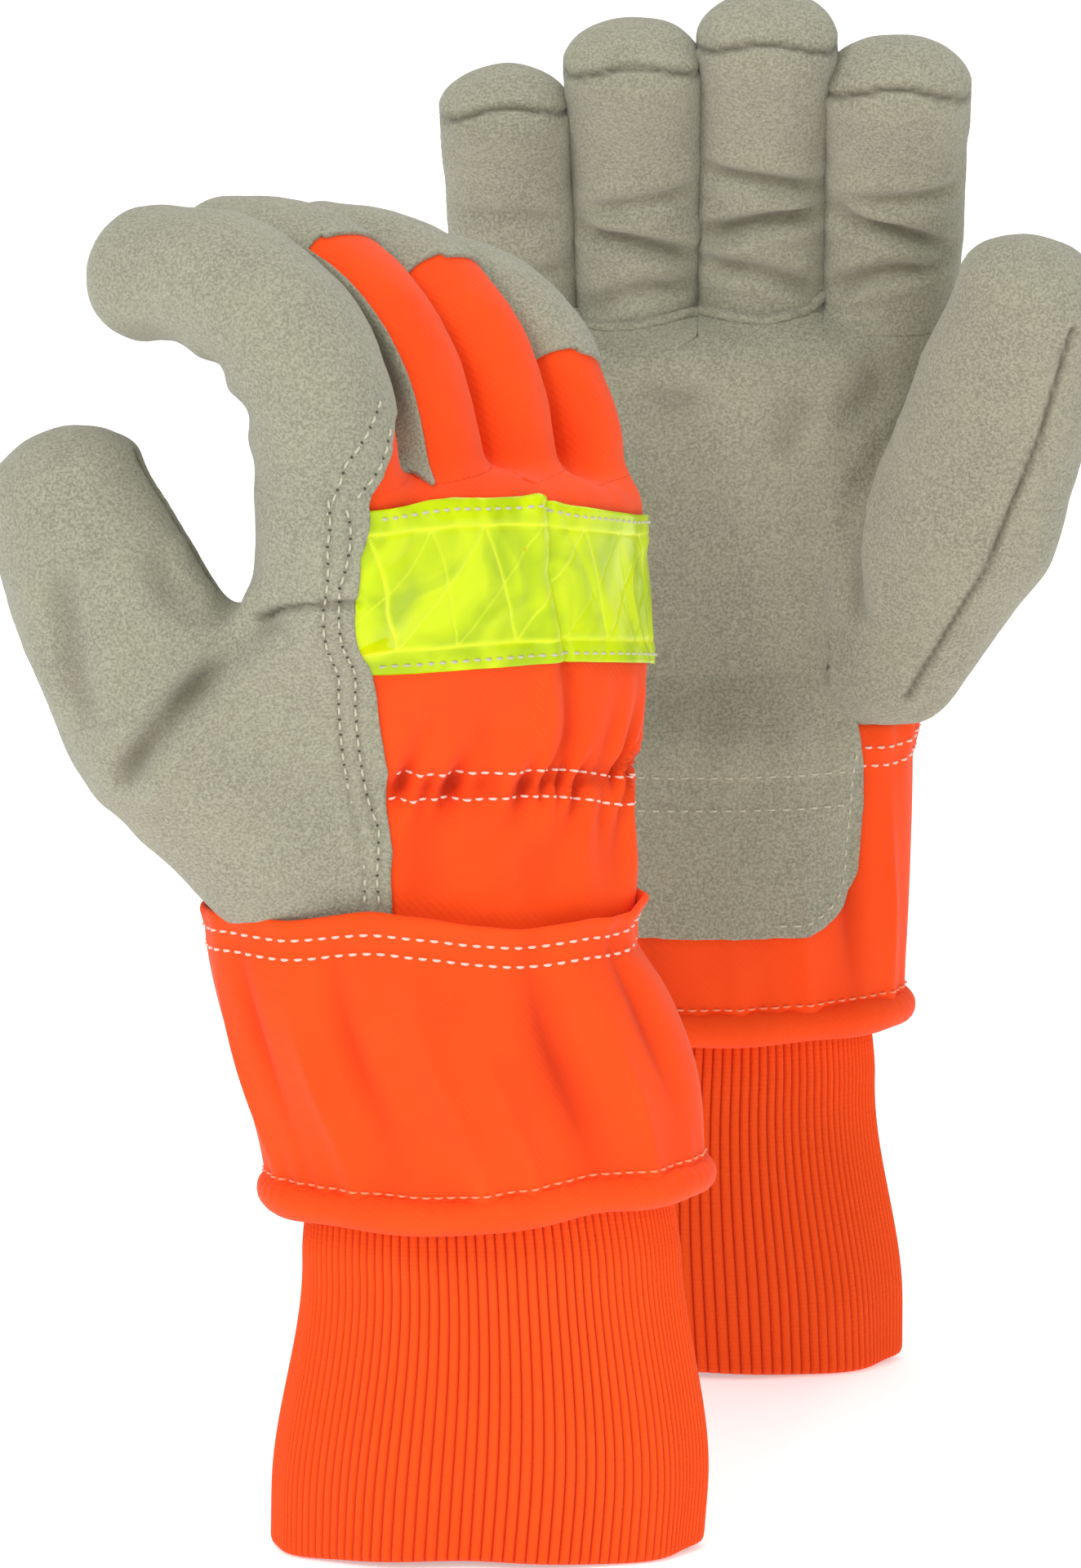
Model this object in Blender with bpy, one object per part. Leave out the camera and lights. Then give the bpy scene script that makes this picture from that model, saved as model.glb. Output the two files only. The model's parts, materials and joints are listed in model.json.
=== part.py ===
"""A pair of right-hand work gloves: leather palms, fabric backs, band cuffs and knit wrists.

Each glove stands on the open end of its knit wrist, with +Z from the wrist to the fingertips.
The near glove shows its back and curls its fingers; the far glove shows its palm and stands straight.
Every length below is in millimetres and every angle in degrees.
"""

import math

import bmesh
import bpy
from mathutils import Vector

METRE = 0.001

# Clearances
SEAM_GAP = 0.4              # between two panels that are sewn edge to edge
LAYER_GAP = 0.35            # between two layers that lie on each other
STRIP_GAP = 0.8             # under a strip that bridges the small hollows of the panel below it
FINGER_CLEARANCE = 1.2      # between neighbouring fingers
KNUCKLE_CLEARANCE = 9.0     # from a finger's hinge up to the start of its stall
PALM_DROP = 8.0             # from the finger hinges down to the palm leather's top edge
BACK_DROP = 1.0             # from the finger hinges down to the back fabric's top edge
SLEEVE_CLEARANCE = 7.5      # between the hand's base and the cuff, front and back
SLEEVE_SIDE_CLEARANCE = 5.0 # the same at the cuff's two sides

# Knit wrist
KNIT_HEIGHT = 95.0
KNIT_BOTTOM_WIDTH = 101.0
KNIT_BOTTOM_DEPTH = 40.0
KNIT_WAIST_WIDTH = 84.0
KNIT_WAIST_DEPTH = 31.0
KNIT_THICKNESS = 2.2

# Band cuff with its rolled hem
CUFF_START = 83.0           # underside of the rolled hem above the table
CUFF_HEIGHT = 72.0
CUFF_WIDTH = 102.0
CUFF_DEPTH = 48.0
CUFF_THICKNESS = 1.6
ROLL_DIAMETER = 9.0
PATCH_HEIGHT = 43.0
PATCH_WIDTH = 78.0
PATCH_CORNER = 16.0
PATCH_THICKNESS = 1.4

# Hand
HAND_LENGTH = 94.0          # from the cuff's lip to the middle knuckle
HAND_DEPTH = 48.0
WRIST_DEPTH = 42.0          # just above the cuff
MOUND_REACH = 61.0          # from the hand's middle to the thumb mound's side
PALM_THICKNESS = 2.0
BACK_THICKNESS = 1.8
TAPE_WIDTH = 38.0
TAPE_THICKNESS = 0.8
TAPE_TOP_DROP = 2.5         # from the back fabric's top edge down to the tape
ELASTIC_WIDTH = 9.0
ELASTIC_THICKNESS = 1.0
ELASTIC_HEIGHT = 25.0       # above the cuff's lip
WELT_DIAMETER = 3.2
LITTLE_KNUCKLE_DROP = 7.0   # how far the little knuckle lies below the middle one

# Stalls: width, thickness and length from hinge to tip
STALLS = {
    "index": (30.0, 27.0, 93.0),
    "middle": (28.0, 27.0, 98.0),
    "ring": (27.0, 26.0, 93.0),
    "little": (25.0, 24.0, 84.0),
}
THUMB_WIDTH = 37.0
THUMB_THICKNESS = 33.0
THUMB_LENGTH = 79.0
THUMB_HINGE_HEIGHT = 47.0   # above the cuff's lip
THUMB_CLEARANCE = 11.0      # from the thumb's hinge up to the start of its stall
STALL_THICKNESS = 1.8
TIP_CAP_LENGTH = 26.0
THUMB_HOLE_HEIGHT = 38.0

# Where the seams run round a cross-section: 0 is the thumb side, 90 the back, 180 the little side
SIDE_SEAM = 186.0
PALM_SEAM = 340.0
SADDLE_EDGE_WRIST = 76.0
SADDLE_EDGE_TAPE = 44.0
SADDLE_EDGE_KNUCKLE = 58.0
THUMB_HOLE_START = 310.0
THUMB_HOLE_END = 372.0
BACK_STRIP_EDGE = 24.0      # where a finger's fabric back meets its leather front
CROTCH_HEIGHT = 69.0        # above the cuff's lip, where the two saddle leathers meet

LIP_HEIGHT = CUFF_START + CUFF_HEIGHT
KNUCKLE_HEIGHT = LIP_HEIGHT + HAND_LENGTH
WRIST_HINGE_HEIGHT = LIP_HEIGHT + 2.0
HAND_BASE_HEIGHT = LIP_HEIGHT - 6.0
RING_SIDES = 32
FINGER_ORDER = ("index", "middle", "ring", "little")

# How each glove stands. Turns are about the vertical: 0 shows the back, 180 shows the palm.
# A curl is the lean of a finger away from the hand's back, at its knuckle and at its tip.
# The knuckle slope is how much the thumb side of the knuckles stands above the little side.
GLOVES = {
    "near": {
        "place": (-11.5, 0.0),
        "lip_lean": (-13.5, 0.0),
        "knuckle_lean": (-8.0, 2.0),
        "wrist_turn": 4.0,
        "knuckle_turn": 47.0,
        "finger_turn": 52.0,
        "knuckle_slope": 0.10,
        "curls": {"index": (2, 98), "middle": (8, 96), "ring": (8, 92), "little": (10, 88)},
        "splays": {"index": 3, "middle": 1, "ring": -1, "little": -3},
        "thumb_offset": (-6.0, 2.0, -7.0),
        "thumb_heading": (-0.51, 0.04, 0.86),
        "thumb_palm_side": (0.15, 0.97, 0.10),
        "thumb_curl": 14.0,
    },
    "far": {
        "place": (36.5, 170.0),
        "lip_lean": (1.0, 0.0),
        "knuckle_lean": (4.0, 0.0),
        "wrist_turn": 180.0,
        "knuckle_turn": 180.0,
        "finger_turn": 180.0,
        "curls": {"index": (7, 38), "middle": (7, 36), "ring": (7, 36), "little": (7, 32)},
        "splays": {"index": 2, "middle": 1, "ring": -1, "little": -4},
        "knuckle_slope": 0.0,
        "thumb_offset": (4.0, -25.0, 12.0),
        "thumb_heading": (0.32, -0.12, 0.94),
        "thumb_palm_side": (-0.25, -0.96, -0.04),
        "thumb_curl": 10.0,
    },
}

COLOURS = {
    "split_leather": ((0.37, 0.35, 0.28, 1.0), 0.95),
    "orange_fabric": ((1.0, 0.12, 0.014, 1.0), 0.75),
    "orange_knit": ((1.0, 0.11, 0.012, 1.0), 0.85),
    "reflective_tape": ((0.62, 0.87, 0.02, 1.0), 0.15),
    "white_textile": ((0.8, 0.78, 0.72, 1.0), 0.8),
}


def clear_scene():
    """Start from an empty scene."""
    for thing in list(bpy.data.objects):
        bpy.data.objects.remove(thing, do_unlink=True)


def blend(start, end, share):
    """A value between start and end that leaves and arrives gently."""
    share = min(max(share, 0.0), 1.0)
    return start + (end - start) * share * share * (3.0 - 2.0 * share)


def material_for(slot):
    """The Principled material of one finish."""
    if slot in bpy.data.materials:
        return bpy.data.materials[slot]
    colour, roughness = COLOURS[slot]
    material = bpy.data.materials.new(slot)
    material.use_nodes = True
    shader = material.node_tree.nodes["Principled BSDF"]
    shader.inputs["Base Color"].default_value = colour
    shader.inputs["Roughness"].default_value = roughness
    shader.inputs["Metallic"].default_value = 0.0
    material.diffuse_color = colour
    return material


def hinge_empty(name, world_place, parent=None):
    """An empty on a joint's axis, which the moving pieces hang from."""
    empty = bpy.data.objects.new(name, None)
    bpy.context.collection.objects.link(empty)
    empty.empty_display_size = 0.02
    empty["world_mm"] = list(world_place)
    offset = Vector(world_place)
    if parent is not None:
        empty.parent = parent
        offset = offset - Vector(parent["world_mm"])
    empty.location = offset * METRE
    return empty


def shell(name, outer_rows, inner_rows, slot, parent, closed=False):
    """A panel of even thickness between two grids of points, as one closed solid."""
    mesh = bmesh.new()
    origin = Vector(parent["world_mm"])
    outer = [[mesh.verts.new((point - origin) * METRE) for point in row] for row in outer_rows]
    inner = [[mesh.verts.new((point - origin) * METRE) for point in row] for row in inner_rows]
    columns = len(outer[0])
    steps = range(columns) if closed else range(columns - 1)
    for low in range(len(outer) - 1):
        for left in steps:
            right = (left + 1) % columns
            mesh.faces.new((outer[low][left], outer[low][right],
                            outer[low + 1][right], outer[low + 1][left]))
            mesh.faces.new((inner[low][right], inner[low][left],
                            inner[low + 1][left], inner[low + 1][right]))
    for left in steps:
        right = (left + 1) % columns
        mesh.faces.new((outer[0][right], outer[0][left], inner[0][left], inner[0][right]))
        mesh.faces.new((outer[-1][left], outer[-1][right], inner[-1][right], inner[-1][left]))
    if not closed:
        for low in range(len(outer) - 1):
            mesh.faces.new((outer[low][0], outer[low + 1][0], inner[low + 1][0], inner[low][0]))
            mesh.faces.new((outer[low + 1][-1], outer[low][-1], inner[low][-1], inner[low + 1][-1]))
    bmesh.ops.recalc_face_normals(mesh, faces=mesh.faces)
    if mesh.calc_volume(signed=True) < 0.0:
        bmesh.ops.reverse_faces(mesh, faces=mesh.faces)
    data = bpy.data.meshes.new(name)
    mesh.to_mesh(data)
    mesh.free()
    data.shade_smooth()
    data.set_sharp_from_angle(angle=math.radians(50))
    data.materials.append(material_for(slot))
    piece = bpy.data.objects.new(name, data)
    bpy.context.collection.objects.link(piece)
    piece.parent = parent
    return piece


def spread(start, end, count):
    """Evenly spaced values from start to end."""
    return [start + (end - start) * step / (count - 1) for step in range(count)]


# ---------------------------------------------------------------- knit wrist and cuff

class Sleeve:
    """The tube of knit and cuff: an ellipse whose size and middle change with height."""

    def __init__(self, pose):
        self.middle = Vector((*pose["place"], 0.0))
        self.lean = Vector((*pose["lip_lean"], 0.0))

    def middle_at(self, height):
        share = (height - CUFF_START) / CUFF_HEIGHT
        return self.middle + self.lean * min(max(share, 0.0), 1.0)

    def point(self, height, half_width, half_depth, angle):
        turn = math.radians(angle)
        offset = Vector((half_width * math.cos(turn), half_depth * math.sin(turn), height))
        return self.middle_at(height) + offset

    def ring(self, height, half_width, half_depth, angles):
        return [self.point(height, half_width, half_depth, angle) for angle in angles]


def cuff_inner_half():
    """Half the width and depth inside the cuff."""
    return CUFF_WIDTH / 2 - CUFF_THICKNESS, CUFF_DEPTH / 2 - CUFF_THICKNESS


def build_knit(glove, sleeve, root):
    """A straight tube that narrows to a waist and flares to meet the cuff's inner wall."""
    inner_width, inner_depth = cuff_inner_half()
    waist_top = CUFF_START + ROLL_DIAMETER + LAYER_GAP
    flare = (inner_width - LAYER_GAP, inner_depth - LAYER_GAP)
    waist = (KNIT_WAIST_WIDTH / 2, KNIT_WAIST_DEPTH / 2)
    foot = (KNIT_BOTTOM_WIDTH / 2, KNIT_BOTTOM_DEPTH / 2)
    stations = [(height, blend(foot[0], waist[0], height / waist_top),
                 blend(foot[1], waist[1], height / waist_top))
                for height in spread(0.0, waist_top, 5)]
    flare_top = waist_top + KNIT_HEIGHT - CUFF_START
    stations += [(flare_top - 2.0, *flare), (flare_top, *flare)]
    angles = spread(0.0, 360.0, RING_SIDES + 1)[:-1]
    outer = [sleeve.ring(height, wide, deep, angles) for height, wide, deep in stations]
    inner = [sleeve.ring(height, wide - KNIT_THICKNESS, deep - KNIT_THICKNESS, angles)
             for height, wide, deep in stations]
    shell(f"{glove}_knit_wrist", outer, inner, "orange_knit", root, closed=True)


def build_cuff(glove, sleeve, root):
    """The band cuff, from just above its rolled hem to its lip."""
    angles = spread(0.0, 360.0, RING_SIDES + 1)[:-1]
    bottom = CUFF_START + ROLL_DIAMETER + LAYER_GAP
    inner_width, inner_depth = cuff_inner_half()
    heights = spread(bottom, LIP_HEIGHT, 3)
    outer = [sleeve.ring(height, CUFF_WIDTH / 2, CUFF_DEPTH / 2, angles) for height in heights]
    inner = [sleeve.ring(height, inner_width, inner_depth, angles) for height in heights]
    shell(f"{glove}_cuff_fabric", outer, inner, "orange_fabric", root, closed=True)


def build_hem_roll(glove, sleeve, root):
    """The rolled hem: a closed ring of round section under the cuff's lower edge."""
    radius = ROLL_DIAMETER / 2
    height = CUFF_START + radius
    outline = bpy.data.curves.new(f"{glove}_cuff_hem_roll", "CURVE")
    outline.dimensions = "3D"
    outline.bevel_depth = radius * METRE
    outline.bevel_resolution = 1
    spline = outline.splines.new("POLY")
    angles = spread(0.0, 360.0, RING_SIDES + 1)[:-1]
    middle_width = CUFF_WIDTH / 2 - CUFF_THICKNESS / 2 - radius / 2
    middle_depth = CUFF_DEPTH / 2 - CUFF_THICKNESS / 2 - radius / 2
    points = sleeve.ring(height, middle_width, middle_depth, angles)
    spline.points.add(len(points) - 1)
    origin = Vector(root["world_mm"])
    for knot, point in zip(spline.points, points):
        knot.co = (*((point - origin) * METRE), 1.0)
    spline.use_cyclic_u = True
    outline.materials.append(material_for("orange_fabric"))
    roll = bpy.data.objects.new(f"{glove}_cuff_hem_roll", outline)
    bpy.context.collection.objects.link(roll)
    roll.parent = root


def build_pulse_patch(glove, sleeve, root, palm_turn):
    """Leather over the pulse: it covers the palm side of the cuff, with round lower corners."""
    middle_angle = palm_turn
    half_width = CUFF_WIDTH / 2 + LAYER_GAP
    half_depth = CUFF_DEPTH / 2 + LAYER_GAP
    reach = math.degrees(math.asin(min(PATCH_WIDTH / 2 / half_width, 0.95)))
    bottom = LIP_HEIGHT - PATCH_HEIGHT
    corner = min(PATCH_CORNER, PATCH_HEIGHT * 0.6)
    heights = [bottom + corner * (1.0 - math.cos(math.radians(step))) for step in (0, 30, 60, 90)]
    heights.append(LIP_HEIGHT - 1.0)
    outer = []
    inner = []
    for height in heights:
        rise = min(height - bottom, corner)
        inset = corner - math.sqrt(corner ** 2 - (corner - rise) ** 2)
        share = 1.0 - inset / (PATCH_WIDTH / 2)
        angles = spread(middle_angle - reach * share, middle_angle + reach * share, 11)
        outer.append(sleeve.ring(height, half_width + PATCH_THICKNESS,
                                 half_depth + PATCH_THICKNESS, angles))
        inner.append(sleeve.ring(height, half_width, half_depth, angles))
    shell(f"{glove}_pulse_patch", outer, inner, "split_leather", root)


# ---------------------------------------------------------------- hand

def finger_places():
    """How far each finger's middle lies from the hand's middle, towards the thumb."""
    total = sum(STALLS[name][0] for name in FINGER_ORDER) + FINGER_CLEARANCE * 3
    edge = total / 2
    places = {}
    for name in FINGER_ORDER:
        width = STALLS[name][0]
        places[name] = edge - width / 2
        edge -= width + FINGER_CLEARANCE
    return places, total / 2


def knuckle_height(across):
    """The knuckle line falls away towards the little finger."""
    half = finger_places()[1]
    share = min(max(-across / half, 0.0), 1.0)
    return KNUCKLE_HEIGHT - LITTLE_KNUCKLE_DROP * share


class Hand:
    """The tube of the hand, from inside the cuff to the knuckles."""

    def __init__(self, pose):
        self.pose = pose
        self.place = Vector((*pose["place"], 0.0))
        self.lip_lean = Vector((*pose["lip_lean"], 0.0))
        self.knuckle_lean = Vector((*pose["knuckle_lean"], 0.0))
        self.half = finger_places()[1] + 1.0

    def share(self, height):
        return (height - LIP_HEIGHT) / HAND_LENGTH

    def middle_at(self, height):
        step = blend(0.0, 1.0, self.share(height))
        return self.place + self.lip_lean + (self.knuckle_lean - self.lip_lean) * step

    def directions(self, height):
        turn = math.radians(blend(self.pose["wrist_turn"], self.pose["knuckle_turn"],
                                  self.share(height)))
        thumbward = Vector((-math.cos(turn), -math.sin(turn), 0.0))
        palmward = Vector((-math.sin(turn), math.cos(turn), 0.0))
        return thumbward, palmward

    def half_sizes(self, height):
        """Half widths on the thumb side and the little side, and half the depth."""
        base_width = cuff_inner_half()[0] - SLEEVE_SIDE_CLEARANCE
        base_depth = cuff_inner_half()[1] - SLEEVE_CLEARANCE
        rise = height - LIP_HEIGHT
        flare = (rise - 3.0) / 14.0
        to_knuckle = self.share(height)
        wrist_depth = blend(base_depth, WRIST_DEPTH / 2, flare)
        depth = blend(wrist_depth, HAND_DEPTH / 2, to_knuckle)
        mound = blend(base_width, MOUND_REACH, (rise - 4.0) / 30.0)
        thumb_side = blend(mound, self.half, (rise - THUMB_HINGE_HEIGHT) / 40.0)
        little_side = blend(base_width, self.half, (rise - 4.0) / 60.0)
        return thumb_side, little_side, depth

    def point(self, height, angle, inset=0.0):
        turn = math.radians(angle)
        thumb_side, little_side, depth = self.half_sizes(height)
        reach = thumb_side if math.cos(turn) >= 0.0 else little_side
        thumbward, palmward = self.directions(height)
        across = (reach - inset) * math.cos(turn)
        outward = (depth - inset) * math.sin(turn)
        spot = self.middle_at(height) + thumbward * across - palmward * outward
        return Vector((spot.x, spot.y, height + self.rise(height, across)))

    def rise(self, height, across):
        """The thumb side stands higher where the hand leans towards the little side."""
        return self.pose["knuckle_slope"] * across * min(max(self.share(height), 0.0), 1.0)

    def across(self, height, angle):
        turn = math.radians(angle)
        thumb_side, little_side, _ = self.half_sizes(height)
        reach = thumb_side if math.cos(turn) >= 0.0 else little_side
        return reach * math.cos(turn)

    def top(self, angle, drop):
        return knuckle_height(self.across(KNUCKLE_HEIGHT, angle)) - drop

    def seam_angle(self, gap, height, angle):
        """The angle that a gap takes up at this place of the cross-section."""
        turn = math.radians(angle)
        thumb_side, little_side, depth = self.half_sizes(height)
        reach = thumb_side if math.cos(turn) >= 0.0 else little_side
        speed = math.hypot((reach - 3.0) * math.sin(turn), (depth - 3.0) * math.cos(turn))
        return math.degrees(gap / speed)


def saddle_edge(height):
    """Where the leather saddle ends on the back: widest at the wrist, narrowest at the tape."""
    rise = height - LIP_HEIGHT
    tape_rise = HAND_LENGTH - TAPE_TOP_DROP - BACK_DROP - TAPE_WIDTH / 2
    to_tape = blend(SADDLE_EDGE_WRIST, SADDLE_EDGE_TAPE, (rise - 10.0) / (tape_rise - 10.0))
    return blend(to_tape, SADDLE_EDGE_KNUCKLE, (rise - tape_rise) / (HAND_LENGTH - tape_rise))


def hand_panel(name, hand, heights, low_edge, high_edge, columns, slot, thickness, parent,
               proud=0.0, drop=None):
    """A panel of the hand between two seams. Its top rows follow the knuckles if drop is given."""
    outer = []
    inner = []
    crotch = LIP_HEIGHT + CROTCH_HEIGHT
    for height in heights:
        low = low_edge(height)
        high = high_edge(height)
        low += hand.seam_angle(SEAM_GAP / 2, height, low)
        high -= hand.seam_angle(SEAM_GAP / 2, height, high)
        outer_row = []
        inner_row = []
        for angle in spread(low, high, columns):
            level = height
            if drop is not None and height > crotch:
                share = (height - crotch) / (heights[-1] - crotch)
                level = crotch + (hand.top(angle, drop) - crotch) * share
            outer_row.append(hand.point(level, angle, -proud))
            inner_row.append(hand.point(level, angle, thickness - proud))
        outer.append(outer_row)
        inner.append(inner_row)
    return shell(name, outer, inner, slot, parent)


def build_hand(glove, hand, hinge):
    """Palm leather, saddle leathers, back fabric, tape, wrist elastic and finger welt."""
    hole_low = LIP_HEIGHT + THUMB_HINGE_HEIGHT - THUMB_HOLE_HEIGHT / 2
    hole_high = LIP_HEIGHT + THUMB_HINGE_HEIGHT + THUMB_HOLE_HEIGHT / 2
    crotch = LIP_HEIGHT + CROTCH_HEIGHT
    step = 1.5

    def in_hole(height):
        return hole_low - 0.01 <= height <= hole_high + 0.01

    def palm_high(height):
        return THUMB_HOLE_START if in_hole(height) else PALM_SEAM

    def saddle_low(height):
        return THUMB_HOLE_END - 360.0 if in_hole(height) else PALM_SEAM - 360.0

    flare = [HAND_BASE_HEIGHT, LIP_HEIGHT + 3.0, LIP_HEIGHT + 10.0, LIP_HEIGHT + 18.0]
    hole_rows = [hole_low - step, hole_low, LIP_HEIGHT + THUMB_HINGE_HEIGHT, hole_high]
    saddle_top = KNUCKLE_HEIGHT - PALM_DROP
    upper_rows = spread(crotch, saddle_top, 3)
    below_crotch = crotch - SEAM_GAP / 2
    above_crotch = crotch + SEAM_GAP / 2
    hand_panel(f"{glove}_palm_leather", hand, flare + hole_rows + [below_crotch] + upper_rows[1:],
               lambda height: SIDE_SEAM, palm_high, 15, "split_leather", PALM_THICKNESS, hinge,
               drop=PALM_DROP)

    back_rows = flare + hole_rows + [below_crotch, above_crotch] + upper_rows[1:]
    hand_panel(f"{glove}_back_fabric", hand, back_rows + [KNUCKLE_HEIGHT - BACK_DROP],
               saddle_edge, lambda height: SIDE_SEAM, 13, "orange_fabric", BACK_THICKNESS, hinge,
               drop=BACK_DROP)

    hand_panel(f"{glove}_thumb_saddle", hand, flare + hole_rows + [below_crotch], saddle_low,
               saddle_edge, 9, "split_leather", PALM_THICKNESS, hinge)

    hand_panel(f"{glove}_index_saddle", hand, [above_crotch] + upper_rows[1:],
               lambda height: PALM_SEAM - 360.0, saddle_edge, 9, "split_leather",
               PALM_THICKNESS, hinge)

    tape_top = KNUCKLE_HEIGHT - BACK_DROP - TAPE_TOP_DROP - LITTLE_KNUCKLE_DROP
    tape_rows = spread(tape_top - TAPE_WIDTH, tape_top, 4)
    hand_panel(f"{glove}_reflective_tape", hand, tape_rows, lambda height: saddle_edge(height) + 1.0,
               lambda height: SIDE_SEAM - 6.0, 13, "reflective_tape", TAPE_THICKNESS, hinge,
               proud=STRIP_GAP + TAPE_THICKNESS)

    elastic_middle = LIP_HEIGHT + ELASTIC_HEIGHT
    elastic_rows = spread(elastic_middle - ELASTIC_WIDTH / 2, elastic_middle + ELASTIC_WIDTH / 2, 3)
    hand_panel(f"{glove}_wrist_elastic", hand, elastic_rows,
               lambda height: saddle_edge(height) + 4.0, lambda height: SIDE_SEAM - 8.0,
               11, "white_textile", ELASTIC_THICKNESS, hinge, proud=-(BACK_THICKNESS + STRIP_GAP))

    welt_middle = KNUCKLE_HEIGHT - PALM_DROP - LITTLE_KNUCKLE_DROP - WELT_DIAMETER
    welt_rows = [welt_middle + WELT_DIAMETER / 2 * math.sin(math.radians(lean))
                 for lean in (-60, 0, 60)]
    hand_panel(f"{glove}_finger_welt", hand, welt_rows, lambda height: 242.0,
               lambda height: 292.0, 9, "split_leather", WELT_DIAMETER * 0.6, hinge,
               proud=STRIP_GAP + WELT_DIAMETER * 0.6)


# ---------------------------------------------------------------- fingers and thumb

class Stall:
    """A finger or thumb tube: a path that curls, with an elliptical section and a domed tip."""

    def __init__(self, hinge, heading, palm_side, width, thickness, length, curl):
        self.hinge = Vector(hinge)
        self.heading = Vector(heading).normalized()
        side = self.heading.cross(Vector(palm_side)).normalized()
        self.palm_side = side.cross(self.heading).normalized()
        self.side = side
        self.half_width = width / 2
        self.half_thickness = thickness / 2
        self.dome = thickness / 2
        self.straight = length - self.dome
        self.curl = math.radians(curl)

    def direction(self, travel):
        """The way that the path points after some travel from the hinge."""
        turn = self.curl * blend(0.0, 1.0, travel / self.straight) if travel > 0.0 else 0.0
        return self.heading * math.cos(turn) + self.palm_side * math.sin(turn)

    def centre(self, travel):
        spot = self.hinge.copy()
        steps = 40
        for step in range(steps):
            spot += self.direction(travel * (step + 0.5) / steps) * (travel / steps)
        return spot

    def taper(self, travel):
        return 1.0 - 0.10 * min(max(travel / self.straight, 0.0), 1.0)

    def ring(self, travel, lean, angles, inset):
        """A ring of points. Lean is 0 on the tube and grows to 90 at the tip of the dome."""
        direction = self.direction(travel)
        scale = self.taper(travel)
        dome = math.radians(lean)
        palm_side = self.side.cross(direction).normalized()
        reach = self.dome * scale - inset
        middle = self.centre(travel) + direction * reach * math.sin(dome)
        wide = (self.half_width * scale - inset) * math.cos(dome)
        thick = (self.half_thickness * scale - inset) * math.cos(dome)
        return [middle + self.side * wide * math.cos(math.radians(angle))
                - palm_side * thick * math.sin(math.radians(angle)) for angle in angles]

    def radius(self, travel, lean, inset):
        return (self.half_thickness * self.taper(travel) - inset) * math.cos(math.radians(lean))


TIP_LEANS = (30.0, 60.0, 82.0)


def stall_panel(name, stall, stations, start, end, columns, slot, parent):
    """A panel of a stall between two seams that run along it."""
    outer = []
    inner = []
    for travel, lean in stations:
        gap = SEAM_GAP / 2 / stall.radius(travel, lean, STALL_THICKNESS)
        gap = math.degrees(math.asin(min(gap, 0.5)))
        angles = spread(start + gap, end - gap, columns)
        outer.append(stall.ring(travel, lean, angles, 0.0))
        inner.append(stall.ring(travel, lean, angles, STALL_THICKNESS))
    return shell(name, outer, inner, slot, parent)


def stations_between(start, end, count):
    return [(travel, 0.0) for travel in spread(start, end, count)]


def build_leather_stall(name, stall, clearance, hinge):
    """A stall with leather front and back, sewn along both sides and over the tip."""
    tip = [(stall.straight, lean) for lean in TIP_LEANS]
    stations = stations_between(clearance, stall.straight, 5) + tip
    stall_panel(f"{name}_back", stall, stations, 0.0, 180.0, 7, "split_leather", hinge)
    stall_panel(f"{name}_front", stall, stations, 180.0, 360.0, 7, "split_leather", hinge)


def build_fabric_stall(name, stall, clearance, hinge):
    """A stall with a leather front, a fabric back and a leather cap over its tip."""
    tip = [(stall.straight, lean) for lean in TIP_LEANS]
    edge = BACK_STRIP_EDGE
    cap_start = stall.straight + stall.dome - TIP_CAP_LENGTH
    front = stations_between(clearance, cap_start, 5) + [(stall.straight, 0.0)] + tip
    stall_panel(f"{name}_front", stall, front, 180.0 - edge, 360.0 + edge, 9,
                "split_leather", hinge)
    back = stations_between(clearance, cap_start, 5)
    back[-1] = (cap_start - SEAM_GAP / 2, 0.0)
    stall_panel(f"{name}_back", stall, back, edge, 180.0 - edge, 5, "orange_fabric", hinge)
    cap = [(cap_start + SEAM_GAP / 2, 0.0), (stall.straight, 0.0)] + tip
    stall_panel(f"{name}_tip", stall, cap, edge, 180.0 - edge, 5, "split_leather", hinge)


def build_fingers(glove, hand, pose, hand_hinge):
    """Four fingers, side by side along the knuckles."""
    turn = math.radians(pose["finger_turn"])
    thumbward = Vector((-math.cos(turn), -math.sin(turn), 0.0))
    palmward = Vector((-math.sin(turn), math.cos(turn), 0.0))
    knuckle_middle = hand.middle_at(KNUCKLE_HEIGHT)
    places = finger_places()[0]
    for name in FINGER_ORDER:
        width, thickness, length = STALLS[name]
        curl_start, curl_end = pose["curls"][name]
        splay = math.radians(pose["splays"][name])
        lean = math.radians(curl_start)
        upward = Vector((0.0, 0.0, 1.0)) * math.cos(splay) + thumbward * math.sin(splay)
        heading = upward * math.cos(lean) + palmward * math.sin(lean)
        palm_side = palmward * math.cos(lean) - upward * math.sin(lean)
        spot = knuckle_middle + thumbward * places[name]
        spot.z = knuckle_height(places[name]) + hand.rise(KNUCKLE_HEIGHT, places[name])
        hinge = hinge_empty(f"{glove}_{name}_hinge", spot, hand_hinge)
        stall = Stall(spot, heading, palm_side, width, thickness, length, curl_end - curl_start)
        if name == "index":
            build_leather_stall(f"{glove}_{name}", stall, KNUCKLE_CLEARANCE, hinge)
        else:
            build_fabric_stall(f"{glove}_{name}", stall, KNUCKLE_CLEARANCE, hinge)


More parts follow.
